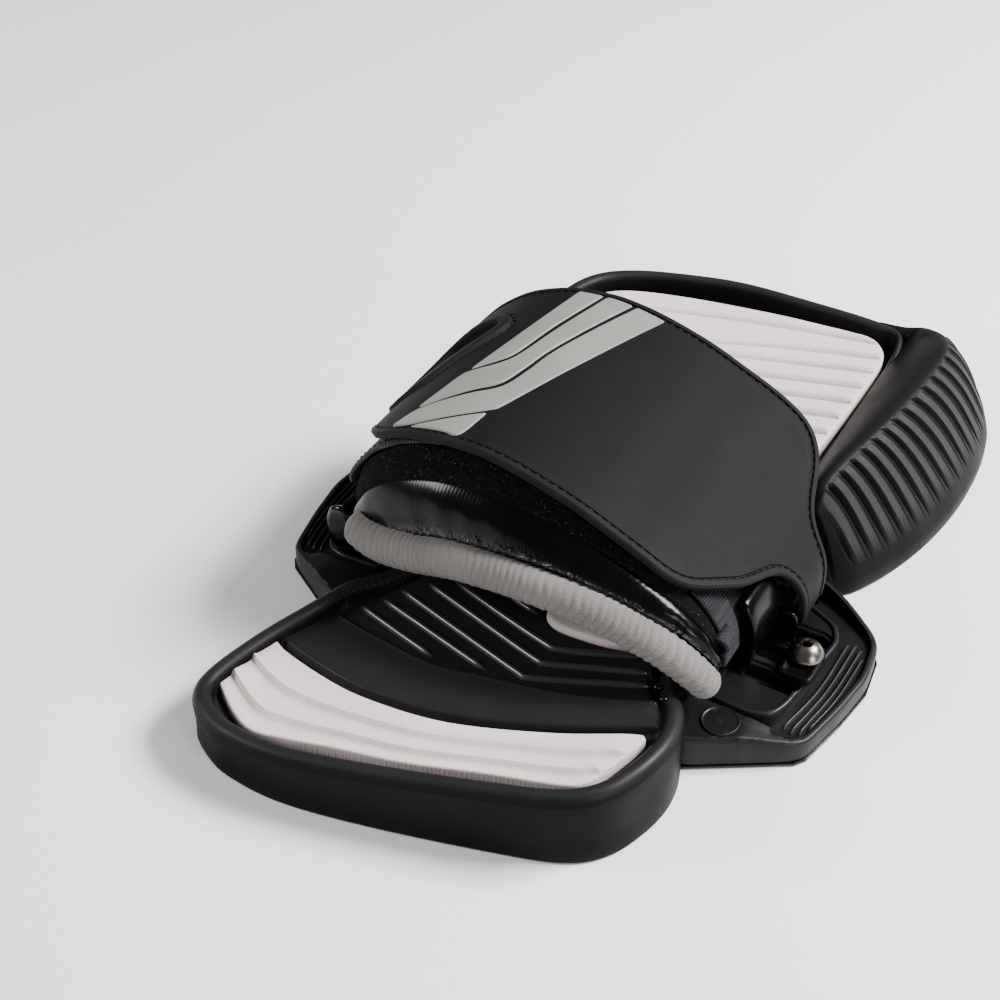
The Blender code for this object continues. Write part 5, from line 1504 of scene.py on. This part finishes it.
def grid_shell(name, top, bot, mat, sharp=None):
    """Closed solid from two equal grids of points."""
    T, B = np.asarray(top, float), np.asarray(bot, float)
    n, m, _ = T.shape
    verts = np.vstack([T.reshape(-1, 3), B.reshape(-1, 3)])
    idt = lambda i, j: i * m + j
    idb = lambda i, j: n * m + i * m + j
    faces = []
    for i in range(n - 1):
        for j in range(m - 1):
            faces.append((idt(i, j), idt(i, j + 1), idt(i + 1, j + 1), idt(i + 1, j)))
            faces.append((idb(i, j), idb(i + 1, j), idb(i + 1, j + 1), idb(i, j + 1)))
    for i in range(n - 1):
        for j in (0, m - 1):
            faces.append((idt(i, j), idt(i + 1, j), idb(i + 1, j), idb(i, j)))
    for j in range(m - 1):
        for i in (0, n - 1):
            faces.append((idt(i, j), idt(i, j + 1), idb(i, j + 1), idb(i, j)))
    return mesh_obj(name, verts, faces, mat, sharp)


def rounded(n, m, rows_e, cols_e, i, j, depth):
    """How much a grid's point is pulled in to round the border."""
    a = min(i, n - 1 - i) / rows_e
    b = min(j, m - 1 - j) / cols_e
    t = min(a, b, 1.0)
    return depth * (1 - math.sqrt(max(0.0, 1 - (1 - t) ** 2)))


ws = np.concatenate([np.linspace(1.0, 0.0, 16)[:-1]])
MJ = len(ws) + 34
T, B = [], []
for i in range(NL):
    y1 = float(liner_toe(liner[i, 0]))
    tr, br = [], []
    cols = [lip(i, w) for w in ws]
    cols += [np.array([liner[i, 0], -28.5 + (y1 + 28.5) * j / 33, liner[i, 1]])
             for j in range(34)]
    cols = np.array(cols)
    # inward direction at each column
    tj = np.gradient(cols, axis=0)
    out = np.array([liner_n[i, 0], 0, liner_n[i, 1]])
    for j in range(MJ):
        t_ = tj[j] / (np.linalg.norm(tj[j]) + 1e-9)
        nn_ = out - t_ * np.dot(out, t_)
        if j < 15:
            nn_ = nn_ + np.array([0, -1.0, 0]) * ws[j] * 0.6
            nn_ -= t_ * np.dot(nn_, t_)
        nn_ /= np.linalg.norm(nn_)
        e = rounded(NL, MJ, 4, 2.5, i, j, 1.7)
        puff = 0.0
        tr.append(cols[j] - nn_ * (0.15 + e * 0.8))
        br.append(cols[j] - nn_ * (LINER_T - e * 0.8 + puff))
    T.append(tr)
    B.append(br)
T, B = np.array(T), np.array(B)
# the window at the free side, between the two leg straps
lv = grid_shell("strap_liner_pad", T, B, M_LINER)
cutb = mesh_obj("window_cut", [(x, y, z) for x in (-90, -58) for y in (0, 26) for z in (20, 56)],
                [(0, 1, 3, 2), (4, 6, 7, 5), (0, 4, 5, 1), (2, 3, 7, 6), (0, 2, 6, 4), (1, 5, 7, 3)],
                None)
mod = lv.modifiers.new("window", 'BOOLEAN')
mod.operation, mod.object, mod.solver = 'DIFFERENCE', cutb, 'EXACT'
dg = bpy.context.evaluated_depsgraph_get()
me2 = bpy.data.meshes.new_from_object(lv.evaluated_get(dg))
lv.modifiers.clear()
lv.data = me2
lv.data.shade_smooth()
lv.data.set_sharp_from_angle(angle=math.radians(50))
bpy.data.objects.remove(cutb, do_unlink=True)
put(lv, PAD_BODY, "liner_foam", "strap_liner")

# loop band: brushed fabric from under the cover down the lip
I0, I1 = 10, NL - 10
T, B = [], []
for n_, i in enumerate(range(I0, I1)):
    tr, br = [], []
    for j, w in enumerate(np.linspace(0.47, 0.03, 18)):
        e = rounded(I1 - I0, 18, 3, 2, n_, j, 0.9)
        wav = 0.35 * math.sin(i * 0.21 + 3 * w) + 0.2 * math.sin(i * 0.47)
        tr.append(lip(i, w, 1.55 - e + 0.12 * wav))
        br.append(lip(i, w, 0.25))
    T.append(tr)
    B.append(br)
lb = grid_shell("lip_loop_band", T, B, M_VELVET)
put(lb, PAD_BODY, "loop_velvet", "loop_band")

# glossy padded facing of the lip, puckered along its seam with the roll
J = 26
T, B, seam = [], [], []
phase = np.cumsum(0.9 + 0.5 * RNG.random(NL))
for n_, i in enumerate(range(I0 - 4, I1 + 4)):
    tr, br = [], []
    for j, w in enumerate(np.linspace(1.0, 0.40, J)):
        e = rounded(I1 - I0 + 8, J, 3, 2, n_, j, 1.0)
        u = (1.0 - w) / 0.60                       # 0 at the roll, 1 at the loop band
        bulge = 2.3 * math.sin(math.pi * min(1, u * 0.92 + 0.06)) ** 0.8
        pk = math.exp(-(u / 0.16) ** 2)
        pucker = 0.55 * math.sin(phase[i] * 2.0) * pk + 0.35 * math.sin(phase[i] * 3.3 + 1) * pk
        pucker += 0.35 * math.sin(phase[i] * 0.55 + u * 2.0) * math.exp(-((u - 0.3) / 0.25) ** 2)
        tr.append(lip(i, w, 0.5 + bulge * 0.75 + pucker * 0.6 - e))
        br.append(lip(i, w, 0.05))
        seam.append(math.exp(-(u / 0.14) ** 2))
    T.append(tr)
    B.append(br)
lf = grid_shell("lip_vinyl_pad", T, B, M_VINYL)
at = lf.data.attributes.new("seam", 'FLOAT', 'POINT')
vals = np.zeros(len(lf.data.vertices), np.float32)
vals[:len(seam)] = seam
at.data.foreach_set("value", vals)
put(lf, PAD_BODY, "vinyl_black", "lip_facing")


# ================================================================== pipings
def piping(name, pts, r0, node, gather, fat=0.0):
    n = 640
    p = spline(pts, n)
    arc = arc_of(p)
    L = arc[-1]
    t = np.gradient(p, axis=0)
    t /= np.linalg.norm(t, axis=1)[:, None]
    seg = 64
    k_left = int(np.argmin(p[:, 0]))
    if fat:                                     # the free end sits fuller and a little higher
        lift = 1 - smoothstep(4, 60, np.abs(p[:, 0] - p[k_left, 0]))
        p[:, 2] += 1.9 * lift
    verts, faces, uvs = [], [], []
    for i in range(n):
        side = np.cross(t[i], (0, 0, 1.0))
        side /= np.linalg.norm(side)
        nn = np.cross(side, t[i])
        endd = min(arc[i], L - arc[i])
        cap = math.sqrt(max(0.0, 1 - (1 - min(1, endd / (r0 * 0.8))) ** 2))
        slim = 1 - 0.10 * float(1 - smoothstep(0, 20, endd))
        if fat:
            slim += fat * float(1 - smoothstep(6, 75, abs(p[i][0] - p[k_left][0])))
        for k in range(seg):
            a = 2 * math.pi * k / seg
            g = gather(arc[i] / L, a)
            q1 = arc[i] * math.pi / 2.7 + 0.6 * math.sin(3 * a) + 1.3 * math.sin(arc[i] / 6.3)
            q2 = arc[i] * math.pi / 4.3 + 0.9 * math.sin(2 * a + 1)
            fold = abs(math.sin(q1)) - 0.64 + 0.55 * (abs(math.sin(q2)) - 0.64)
            r = r0 * slim * max(cap, 0.02) + (0.40 + 0.30 * float(smoothstep(-30, 50, p[i][0]))) * fold * g * cap
            verts.append(p[i] + r * (math.cos(a) * side + math.sin(a) * nn))
            uvs.append((arc[i], a * r0))
    for i in range(n - 1):
        for k in range(seg):
            a, b = i * seg + k, i * seg + (k + 1) % seg
            faces.append((a, b, b + seg, a + seg))
    c0 = len(verts)
    verts.append(p[0] - t[0] * 0.2)
    verts.append(p[-1] + t[-1] * 0.2)
    uvs += [(0, 0), (L, 0)]
    for k in range(seg):
        faces.append((k, (k + 1) % seg, c0))
        faces.append(((n - 1) * seg + k, (n - 1) * seg + (k + 1) % seg, c0 + 1))
    ob = mesh_obj(name, verts, faces, M_TWILL)
    uvl = ob.data.uv_layers.new(name="UVMap")
    li = np.zeros(len(ob.data.loops), int)
    ob.data.loops.foreach_get("vertex_index", li)
    uva = np.array(uvs)[li]
    # keep the wrap-around column continuous
    for poly_ in ob.data.polygons:
        ids = list(poly_.loop_indices)
        vv = uva[ids, 1]
        if vv.max() - vv.min() > math.pi * r0:
            for q_ in ids:
                if uva[q_, 1] < math.pi * r0:
                    uva[q_, 1] += 2 * math.pi * r0
    uvl.data.foreach_set("uv", uva.astype(np.float32).ravel())
    put(ob, PAD_BODY, "twill_grey", node)
    return ob


piping("heel_piping_roll", ROLL_PATH, ROLL_R, "heel_piping",
       lambda u, a: float(0.65 + 0.35 * smoothstep(0.2, 0.7, u)) * (0.8 + 0.2 * math.sin(a + 2.4)),
       fat=0.20)
toe_roll = []
lin34 = spline(LINER_PROFILE, 34)
ln34 = frames_of(lin34)
for i in range(1, 33, 2):
    toe_roll.append((lin34[i, 0] - 2.0 * ln34[i, 0], float(liner_toe(lin34[i, 0])) + TOE_ROLL_R + 0.6,
                     lin34[i, 1] - 2.0 * ln34[i, 1]))
piping("toe_piping_roll", toe_roll, TOE_ROLL_R, "toe_piping",
       lambda u, a: 0.6)

# webbing tab: ribbed band down the end of the liner, with a doubled-back fold
def webbing(name, k0, k1, y0, y1, lift, pitch, slant, node=None):
    seg = liner[k0:k1]
    arc = arc_of(seg)
    n = int(arc[-1] / 0.16)
    at_ = np.linspace(0, arc[-1], n)
    cx = np.interp(at_, arc, seg[:, 0])
    cz = np.interp(at_, arc, seg[:, 1])
    nx_ = np.interp(at_, arc, liner_n[k0:k1, 0])
    nz_ = np.interp(at_, arc, liner_n[k0:k1, 1])
    T, B = [], []
    cols = 22
    for i in range(n):
        tr, br = [], []
        for j in range(cols):
            y = y0 + (y1 - y0) * j / (cols - 1)
            e = rounded(n, cols, 6, 1.6, i, j, 0.7)
            rib = 0.20 * math.sin(2 * math.pi * (at_[i] + slant * (y - y0)) / pitch)
            off = lift(at_[i] / arc[-1], (y - y0) / (y1 - y0)) + rib - e
            tr.append((cx[i] + off * nx_[i], y, cz[i] + off * nz_[i]))
            lo_ = max(0.3, off - 1.7)
            br.append((cx[i] + lo_ * nx_[i], y, cz[i] + lo_ * nz_[i]))
        T.append(tr)
        B.append(br)
    ob = grid_shell(name, T, B, M_WEB)
    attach(ob, PAD_BODY)
    if node:
        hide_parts(node)
    return ob


k0 = 3
k1 = int(np.where(liner[:, 0] > 51.5)[0].max())
webbing("webbing_band", k0, k1, -27.5, -16.0, lambda u, w: 1.95, 0.95, 0.0, "webbing_tab")
fold_k = np.where((liner[:, 1] > 30.5) & (liner[:, 1] < 40.0) & (liner[:, 0] > 40))[0]
print("FOLD", fold_k.min(), fold_k.max(), len(fold_k))
webbing("webbing_fold", int(fold_k.min()), int(fold_k.max()), -31.5, -23.0,
        lambda u, w: 2.4 + 2.9 * math.sin(math.pi * u) + 0.6 * (1 - w), 0.85, 0.45)

# ===================================================== carried-over CAD parts
def finish_node(node, mat, bev=0.45, seg=3, angle=32):
    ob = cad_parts[node]
    ob.data.materials.clear()
    ob.data.materials.append(mat)
    w = ob.modifiers.new("weld", 'WELD')
    w.merge_threshold = 0.00002
    if bev:
        b = ob.modifiers.new("edges", 'BEVEL')
        b.width = bev * MM
        b.segments = seg
        b.limit_method = 'ANGLE'
        b.angle_limit = math.radians(angle)
        b.harden_normals = True
    return ob


finish_node("base_gasket", M_GASKET, 0.35)
finish_node("cover_hinge_bar", M_STEEL, 0.2)
finish_node("left_anchor_bar", M_GLOSS, 0.2)
finish_node("hook_patch", M_HOOK, 0)


def band_mat(ob, loop, lo_, hi_, mat, zmin):
    """Give the faces between two distances from an outline another material: lighter bands, painted highlights on
    the plate rim and the chassis lip.
    """
    ob.data.materials.append(mat)
    cen = np.array([q_.center for q_ in ob.data.polygons])
    d, _ = seg_dist(cen[:, :2], loop)
    pick = (d >= lo_) & (d <= hi_) & (cen[:, 2] > zmin)
    for q_, on in zip(ob.data.polygons, pick):
        if on:
            q_.material_index = len(ob.data.materials) - 1
    return ob


def mirror(pts):
    return [(-p[0], *p[1:]) for p in reversed(list(map(tuple, pts)))]


def slot_loop(x0, x1, y, w, n=14):
    r = w / 2
    a1 = np.linspace(-math.pi / 2, math.pi / 2, n)
    right_ = [(x1 - r + r * math.cos(a), y + r * math.sin(a)) for a in a1]
    left_ = [(x0 + r - r * math.cos(a), y - r * math.sin(a)) for a in a1]
    return np.array(right_ + left_)


WING = [(66, -54), (97.5, -34.5), (100, -31), (104, -12), (106.5, 6),
        (104.5, 22), (101.5, 27), (88, 37), (78, 42), (60, 44)]
plate_out = ccw(soften(resample(np.array(WING + mirror(WING), float), 1.1), 12))
FACET = np.array([(56, -52), (68, -51.5), (96.8, -34.6), (87, -32.7), (79, -33.4), (56, -31.8)], float)


def rim_z(P):
    ax, y = np.abs(P[:, 0]), P[:, 1]
    a = np.interp(ax, [66, 80, 97.5], [13.2, 12.0, 9.3])
    b = np.interp(ax, [66, 78, 88, 101.5], [13.0, 12.4, 11.0, 9.2])
    return np.where(y < -31, a, np.where(y > 24, b, 9.0 + 0.3 * smoothstep(18, 24, y)))


def plate_top(P):
    A_ = np.column_stack([np.abs(P[:, 0]), P[:, 1]])
    d, _ = seg_dist(P, plate_out)
    zr = rim_z(P)
    r = 1.3
    round_ = np.where(d < r, r - np.sqrt(np.maximum(r * r - (r - d) ** 2, 0)), 0)
    m_ = smoothstep(57, 61, A_[:, 0])
    z = zr - round_ - (zr - 7.0) * smoothstep(2.1, 2.9, d)
    z = z * m_ + (7.0 - 0.6 * (1 - smoothstep(0, 0.6, d))) * (1 - m_)
    fin = inside(A_, FACET)
    df, _ = seg_dist(A_, FACET)
    zf = np.where(A_[:, 0] < 81, 13.0, 13.0 - 3.6 * (A_[:, 0] - 81) / 15.5)
    zf = np.minimum(zf, np.where(d < r, zf - round_, zf))
    k_ = smoothstep(-0.1, 0.8, df) * fin
    k_ = np.where(fin & (d < 3.4), 1.0, k_)
    z = np.where(fin, np.maximum(z, 7.0 + (zf - 7.0) * k_), z)
    # a fine step line that runs along the foot of the outer wall's top edge
    return np.column_stack([P, z])


mid_slots = [slot_loop(67, 89.5, 0.0, 7.0), -slot_loop(67, 89.5, 0.0, 7.0)]
pl = [resample(inset(plate_out, d), 1.4) for d in (0.3, 0.8, 1.4, 2.1, 2.9)]
fl = []
for sgn in (1, -1):
    for k_ in (0.0, 0.8):
        q_ = resample(inset(FACET, k_), 1.4)
        fl.append(np.column_stack([sgn * q_[:, 0], q_[:, 1]]))
obs = [shell("base_plate_body", plate_out, plate_top,
             lambda P: np.column_stack([P, np.full(len(P), 1.5)]), M_NYLON,
             holes=mid_slots, guides=pl, lines=fl, step=2.6, sharp=45)]
# painted highlight: the rim band gets the lighter nylon
band_mat(obs[0], plate_out, -1, 2.2, M_RIM_HIGHLIGHT, 3.0)


def fin_path(name, pts, z0, z1, w, mat, n=60):
    q = spline(pts, n)
    t = np.gradient(q, axis=0)
    t /= np.linalg.norm(t, axis=1)[:, None]
    nn = np.stack([-t[:, 1], t[:, 0]], 1)
    rr = []
    for i in range(n):
        e = min(1.0, min(i, n - 1 - i) / 4.0)
        k_ = math.sqrt(max(0.05, 1 - (1 - e) ** 2))
        rr.append([(q[i, 0] + nn[i, 0] * a * w, q[i, 1] + nn[i, 1] * a * w,
                    z0 + (z1 - z0) * h_ * k_)
                   for a, h_ in ((-1.2, 0), (-0.9, 0.55), (-0.55, 0.9), (0, 1.0), (0.55, 0.9),
                                 (0.9, 0.55), (1.2, 0))])
    return loft(name, rr, mat)


FINS = [[(94.8, 19.5), (94.2, -7), (90.4, -28.6)], [(97.3, 20.4), (96.6, -7), (93.2, -29.2)],
        [(99.7, 19.0), (99.0, -6), (95.8, -28.6)], [(101.7, 15.0), (100.9, -8), (98.0, -25.6)]]
# painted highlight: the fins use the lighter grey nylon
for k_, f_ in enumerate(FINS):
    obs.append(fin_path(f"fin_{k_}", f_, 6.8, 8.75, 0.36, M_FIN_HIGHLIGHT))
    obs.append(fin_path(f"fin_l{k_}", mirror(f_), 6.8, 8.75, 0.36, M_FIN_HIGHLIGHT))
put(join("wing_plate", obs), PAD_BODY, "nylon_black", "base_plate")

# ---- strap brackets
CHASSIS = [(63, -31), (80, -32), (86.5, -29), (89, -22), (93, 14),
           (89.5, 21.5), (74, 29), (63, 33)]
SLOT_YS = (-12.5, 0.0, 11.5)


def bracket_plate(name, side):
    base_ = CHASSIS if side > 0 else mirror(CHASSIS)
    out_ = ccw(soften(resample(np.array(base_, float), 0.9), 12))
    holes_ = []
    for y in SLOT_YS:
        h_ = slot_loop(67, 89.5, y, 7.0)
        holes_.append(ccw(h_ if side > 0 else np.column_stack([-h_[:, 0], h_[:, 1]])))

    def top(P):
        d, _ = seg_dist(P, out_)
        r = 0.8
        round_ = np.where(d < r, r - np.sqrt(np.maximum(r * r - (r - d) ** 2, 0)), 0)
        z = 12.8 - round_ - 0.9 * smoothstep(1.5, 2.2, d)
        dh = np.min([seg_dist(P, h_)[0] for h_ in holes_], axis=0)
        z = z - 0.9 * (1 - smoothstep(1.2, 1.9, dh)) * smoothstep(2.0, 2.6, d)
        z = z - 0.5 * (1 - smoothstep(0.0, 0.5, dh))
        return np.column_stack([P, z])
    g_ = [resample(inset(out_, d), 1.2) for d in (0.25, 0.7, 1.5, 2.2)]
    ob = shell(name, out_, top, lambda P: np.column_stack([P, np.full(len(P), 7.35)]), M_CHASSIS,
                 holes=holes_, guides=g_,
                 lines=[np.vstack([resample(inset(h_, -k_), 1.2)] * 1) for h_ in holes_ for k_ in (0.5, 1.2, 1.9)],
                 step=1.8, sharp=45)
    # painted highlight: the lip band gets the lighter nylon
    return band_mat(ob, out_, 0.2, 1.55, M_LIP_HIGHLIGHT, 11.9)


def xz_slab(name, poly_, y0, y1, r, mat, passes=5):
    """Side plate: an XZ outline with rounded edges, between two y values."""
    q = soften(resample(np.array(poly_, float), 0.5), passes)
    q = ccw(q)
    rr = [inset(q, r * 1.6), inset(q, r * 0.35), q, q, inset(q, r * 0.35), inset(q, r * 1.6)]
    ys = [y0, y0 + r * 0.35, y0 + r, y1 - r, y1 - r * 0.35, y1]
    return loft(name, [[(p[0], y, p[1]) for p in a] for a, y in zip(rr, ys)], mat, sharp=50)


def ear(name, path_, y0, y1, thick, mat):
    """Upright curved ear with a rounded edge all round."""
    q = spline(path_, 46)
    d = np.gradient(q, axis=0)
    d /= np.linalg.norm(d, axis=1)[:, None]
    nn = np.stack([-d[:, 1], d[:, 0]], 1)
    rr = []
    for i in range(len(q)):
        e = min(1.0, (len(q) - 1 - i) / 5.0)
        k_ = math.sqrt(max(0.02, 1 - (1 - e) ** 2))
        half = thick / 2 * k_
        c_ = q[i] + nn[i] * thick / 2
        inset_y = 2.2 * (1 - k_)
        flare = 1.6 * (1 - min(1.0, i / 12.0)) ** 2
        ring = []
        for k in range(40):
            a = 2 * math.pi * k / 40
            # rounded rectangle in (y, normal)
            sy = math.copysign(abs(math.cos(a)) ** 0.28, math.cos(a))
            sn = math.copysign(abs(math.sin(a)) ** 0.8, math.sin(a))
            yy = (y0 + y1) / 2 + ((y1 - y0) / 2 - inset_y + flare) * sy
            ring.append((c_[0] + nn[i, 0] * half * sn, yy, c_[1] + nn[i, 1] * half * sn))
        rr.append(ring)
    return loft(name, rr, mat, sharp=60)


EAR = [(70, 10), (72.3, 20), (72.8, 28), (71.4, 35.5), (67.6, 41.5)]
LUG = [(67.8, 10), (79, 10), (79.6, 20), (78.4, 23.6), (75.6, 24.6), (70, 24)]
obs = [bracket_plate("bracket_r", 1), ear("ear_a", EAR, -14, 7.2, 3.0, M_EAR),
       ear("ear_b", EAR[:3] + [(71.8, 33)], 30.8, 36.3, 3.0, M_EAR),
       xz_slab("lug_a", LUG, 6.7, 8.9, 0.5, M_EAR), xz_slab("lug_b", LUG, 29.8, 32.4, 0.5, M_EAR)]
put(join("right_bracket", obs), PAD_BODY, "nylon_gloss", "right_chassis")
LEAR = [(-70.5, 10), (-83, 10), (-86, 17), (-86.6, 25), (-84.6, 30.5),
        (-80, 32.6), (-76.6, 30), (-73.6, 22)]
obs = [bracket_plate("bracket_l", -1)]
for k_, (a, b) in enumerate(((-29.5, -26.7), (9.6, 12.8), (45.2, 48.0))):
    obs.append(xz_slab(f"lear_{k_}", LEAR, a, b, 1.3, M_GLOSS, 10))
obs.append(xz_slab("lwall", [(-70.2, 11), (-72.8, 11), (-72.8, 22), (-70.2, 21)], -28.5, 32, 0.4, M_GLOSS, 2))
obs.append(xz_slab("lwall_b", [(-70.4, 14), (-74.6, 14), (-73.6, 20), (-70.4, 19.6)], 31, 47.4, 0.4, M_GLOSS, 2))
put(join("left_bracket", obs), PAD_BODY, "nylon_gloss", "left_chassis")

# ---- clamp washers and screws
for side, word in ((1, "right"), (-1, "left")):
    cx = side * 86.0
    out_ = ccw(soften(resample(np.array([(cx - 6.2, -12.0), (cx + 6.2, -12.0), (cx + 6.2, 4.4),
                                         (cx - 6.2, 4.4)]), 0.7), 12))
    bore = ccw(np.array([(cx + 3.3 * math.cos(a), 3.3 * math.sin(a))
                         for a in np.linspace(0, 2 * math.pi, 40, endpoint=False)]))

    def wtop(P, out_=out_):
        d, _ = seg_dist(P, out_)
        r = 1.1
        round_ = np.where(d < r, r - np.sqrt(np.maximum(r * r - (r - d) ** 2, 0)), 0)
        z = 15.1 - round_ - 0.5 * smoothstep(1.8, 2.4, d)
        return np.column_stack([P, z])
    # painted shade: the washer uses the near-black shadowed nylon
    ob = shell(f"{word}_clamp_washer", out_, wtop,
               lambda P: np.column_stack([P, np.full(len(P), 13.1)]), M_WASHER_SHADE, holes=[bore],
               guides=[resample(inset(out_, d), 0.9) for d in (0.3, 0.7, 1.1, 1.8, 2.4)], step=1.3)
    put(ob, f"{word}_washer_body", "nylon_gloss", f"{word}_washer")
    prof = spline([(0.05, 20.6), (1.8, 20.42), (3.6, 19.65), (5.0, 18.3), (5.95, 16.75), (6.2, 15.75)], 26).tolist()
    prof += [(6.1, 15.5), (5.8, 15.42), (2.9, 15.4), (2.9, 13.0), (2.6, 12.6), (2.6, 0.9), (2.3, 0.5), (0.05, 0.5)]
    rr = [[(cx + r * math.cos(a), r * math.sin(a), z) for a in np.linspace(0, 2 * math.pi, 72, endpoint=False)]
          for r, z in prof]
    sc_ = loft(f"{word}_dome_screw", rr, M_STEEL, sharp=50)
    # hexagon socket with a bevelled mouth
    rot = math.radians(28 * side)
    hexr = [[(cx + r * math.cos(a + rot), r * math.sin(a + rot), z)
             for a in np.linspace(0, 2 * math.pi, 6, endpoint=False)]
            for r, z in ((1.9, 17.4), (1.95, 20.0), (2.5, 20.7), (2.6, 23.0))]
    hx = loft("hex_cut", hexr, None)
    mod = sc_.modifiers.new("socket", 'BOOLEAN')
    mod.operation, mod.object, mod.solver = 'DIFFERENCE', hx, 'EXACT'
    dg = bpy.context.evaluated_depsgraph_get()
    me2 = bpy.data.meshes.new_from_object(sc_.evaluated_get(dg))
    sc_.modifiers.clear()
    sc_.data = me2
    me2.shade_smooth()
    me2.set_sharp_from_angle(angle=math.radians(40))
    bpy.data.objects.remove(hx, do_unlink=True)
    put(sc_, f"{word}_screw_body", "steel_dark", f"{word}_screw")

# badge: plain disc with a ring
x0, y0, z0 = 73, -40.4, 13.3
rr = []
for r_, z_ in ((6.4, 0.0), (6.35, 0.30), (6.15, 0.46), (5.95, 0.46), (5.75, 0.18), (5.5, 0.12),
               (5.3, 0.12), (5.0, 0.12), (4.6, 0.12), (4.0, 0.12), (3.2, 0.12), (2.2, 0.12),
               (1.2, 0.12), (0.3, 0.12)):
    rr.append([(x0 + r_ * math.cos(a), y0 + r_ * math.sin(a), z0 + z_)
               for a in np.linspace(0, 2 * math.pi, 64, endpoint=False)])
put(loft("round_badge", rr, M_NYLON, sharp=60), PAD_BODY, "nylon_gloss", "badge")

# ============================================================ camera, light
cam = bpy.data.cameras.new("cam")
cam_ob = bpy.data.objects.new("cam", cam)
bpy.context.scene.collection.objects.link(cam_ob)
cam_ob.location = (0.209645, -0.427110, 0.437514)
cam_ob.rotation_euler = (math.radians(90 - 39.4068), 0, math.radians(29.4447))
cam.lens = 64.852
cam.sensor_width = 36
cam.clip_start, cam.clip_end = 0.01, 20
bpy.context.scene.camera = cam_ob

me = bpy.data.meshes.new("floor")
me.from_pydata([(-4, -4, -0.0003), (4, -4, -0.0003), (4, 4, -0.0003), (-4, 4, -0.0003)], [], [(0, 1, 2, 3)])
floor = bpy.data.objects.new("floor", me)
bpy.context.scene.collection.objects.link(floor)
fm, nt, b = nodes_of("floor_pale")
c = ramp(nt, noise(nt, coords(nt), 3, 2), [(0.3, (0.86, 0.86, 0.86)), (0.7, (0.88, 0.88, 0.88))])
link(nt, c, b.inputs['Base Color'])
set_in(b, Roughness=0.9, Specular_IOR_Level=0.1)
me.materials.append(fm)


def area_light(name, loc, target, size, power, col=(1, 1, 1), size_y=None):
    l = bpy.data.lights.new(name, 'AREA')
    l.energy = power
    l.color = col
    l.size = size
    if size_y:
        l.shape = 'RECTANGLE'
        l.size_y = size_y
    o = bpy.data.objects.new(name, l)
    bpy.context.scene.collection.objects.link(o)
    o.location = loc
    o.rotation_euler = (Vector(target) - Vector(loc)).to_track_quat('-Z', 'Y').to_euler()
    return o


area_light("key", (0.80, 0.52, 0.98), (0, 0.02, 0.02), 0.50, 58, size_y=0.40)
area_light("right", (1.10, -0.50, 0.42), (0.04, 0.0, 0.03), 0.40, 7)
area_light("left", (-0.98, -0.62, 0.60), (0, -0.02, 0.03), 0.36, 12)
world = bpy.data.worlds.new("world")
bpy.context.scene.world = world
world.use_nodes = True
wn = world.node_tree
bg = wn.nodes["Background"]
bg.inputs['Color'].default_value = (1, 1, 1, 1)
bg.inputs['Strength'].default_value = 0.26
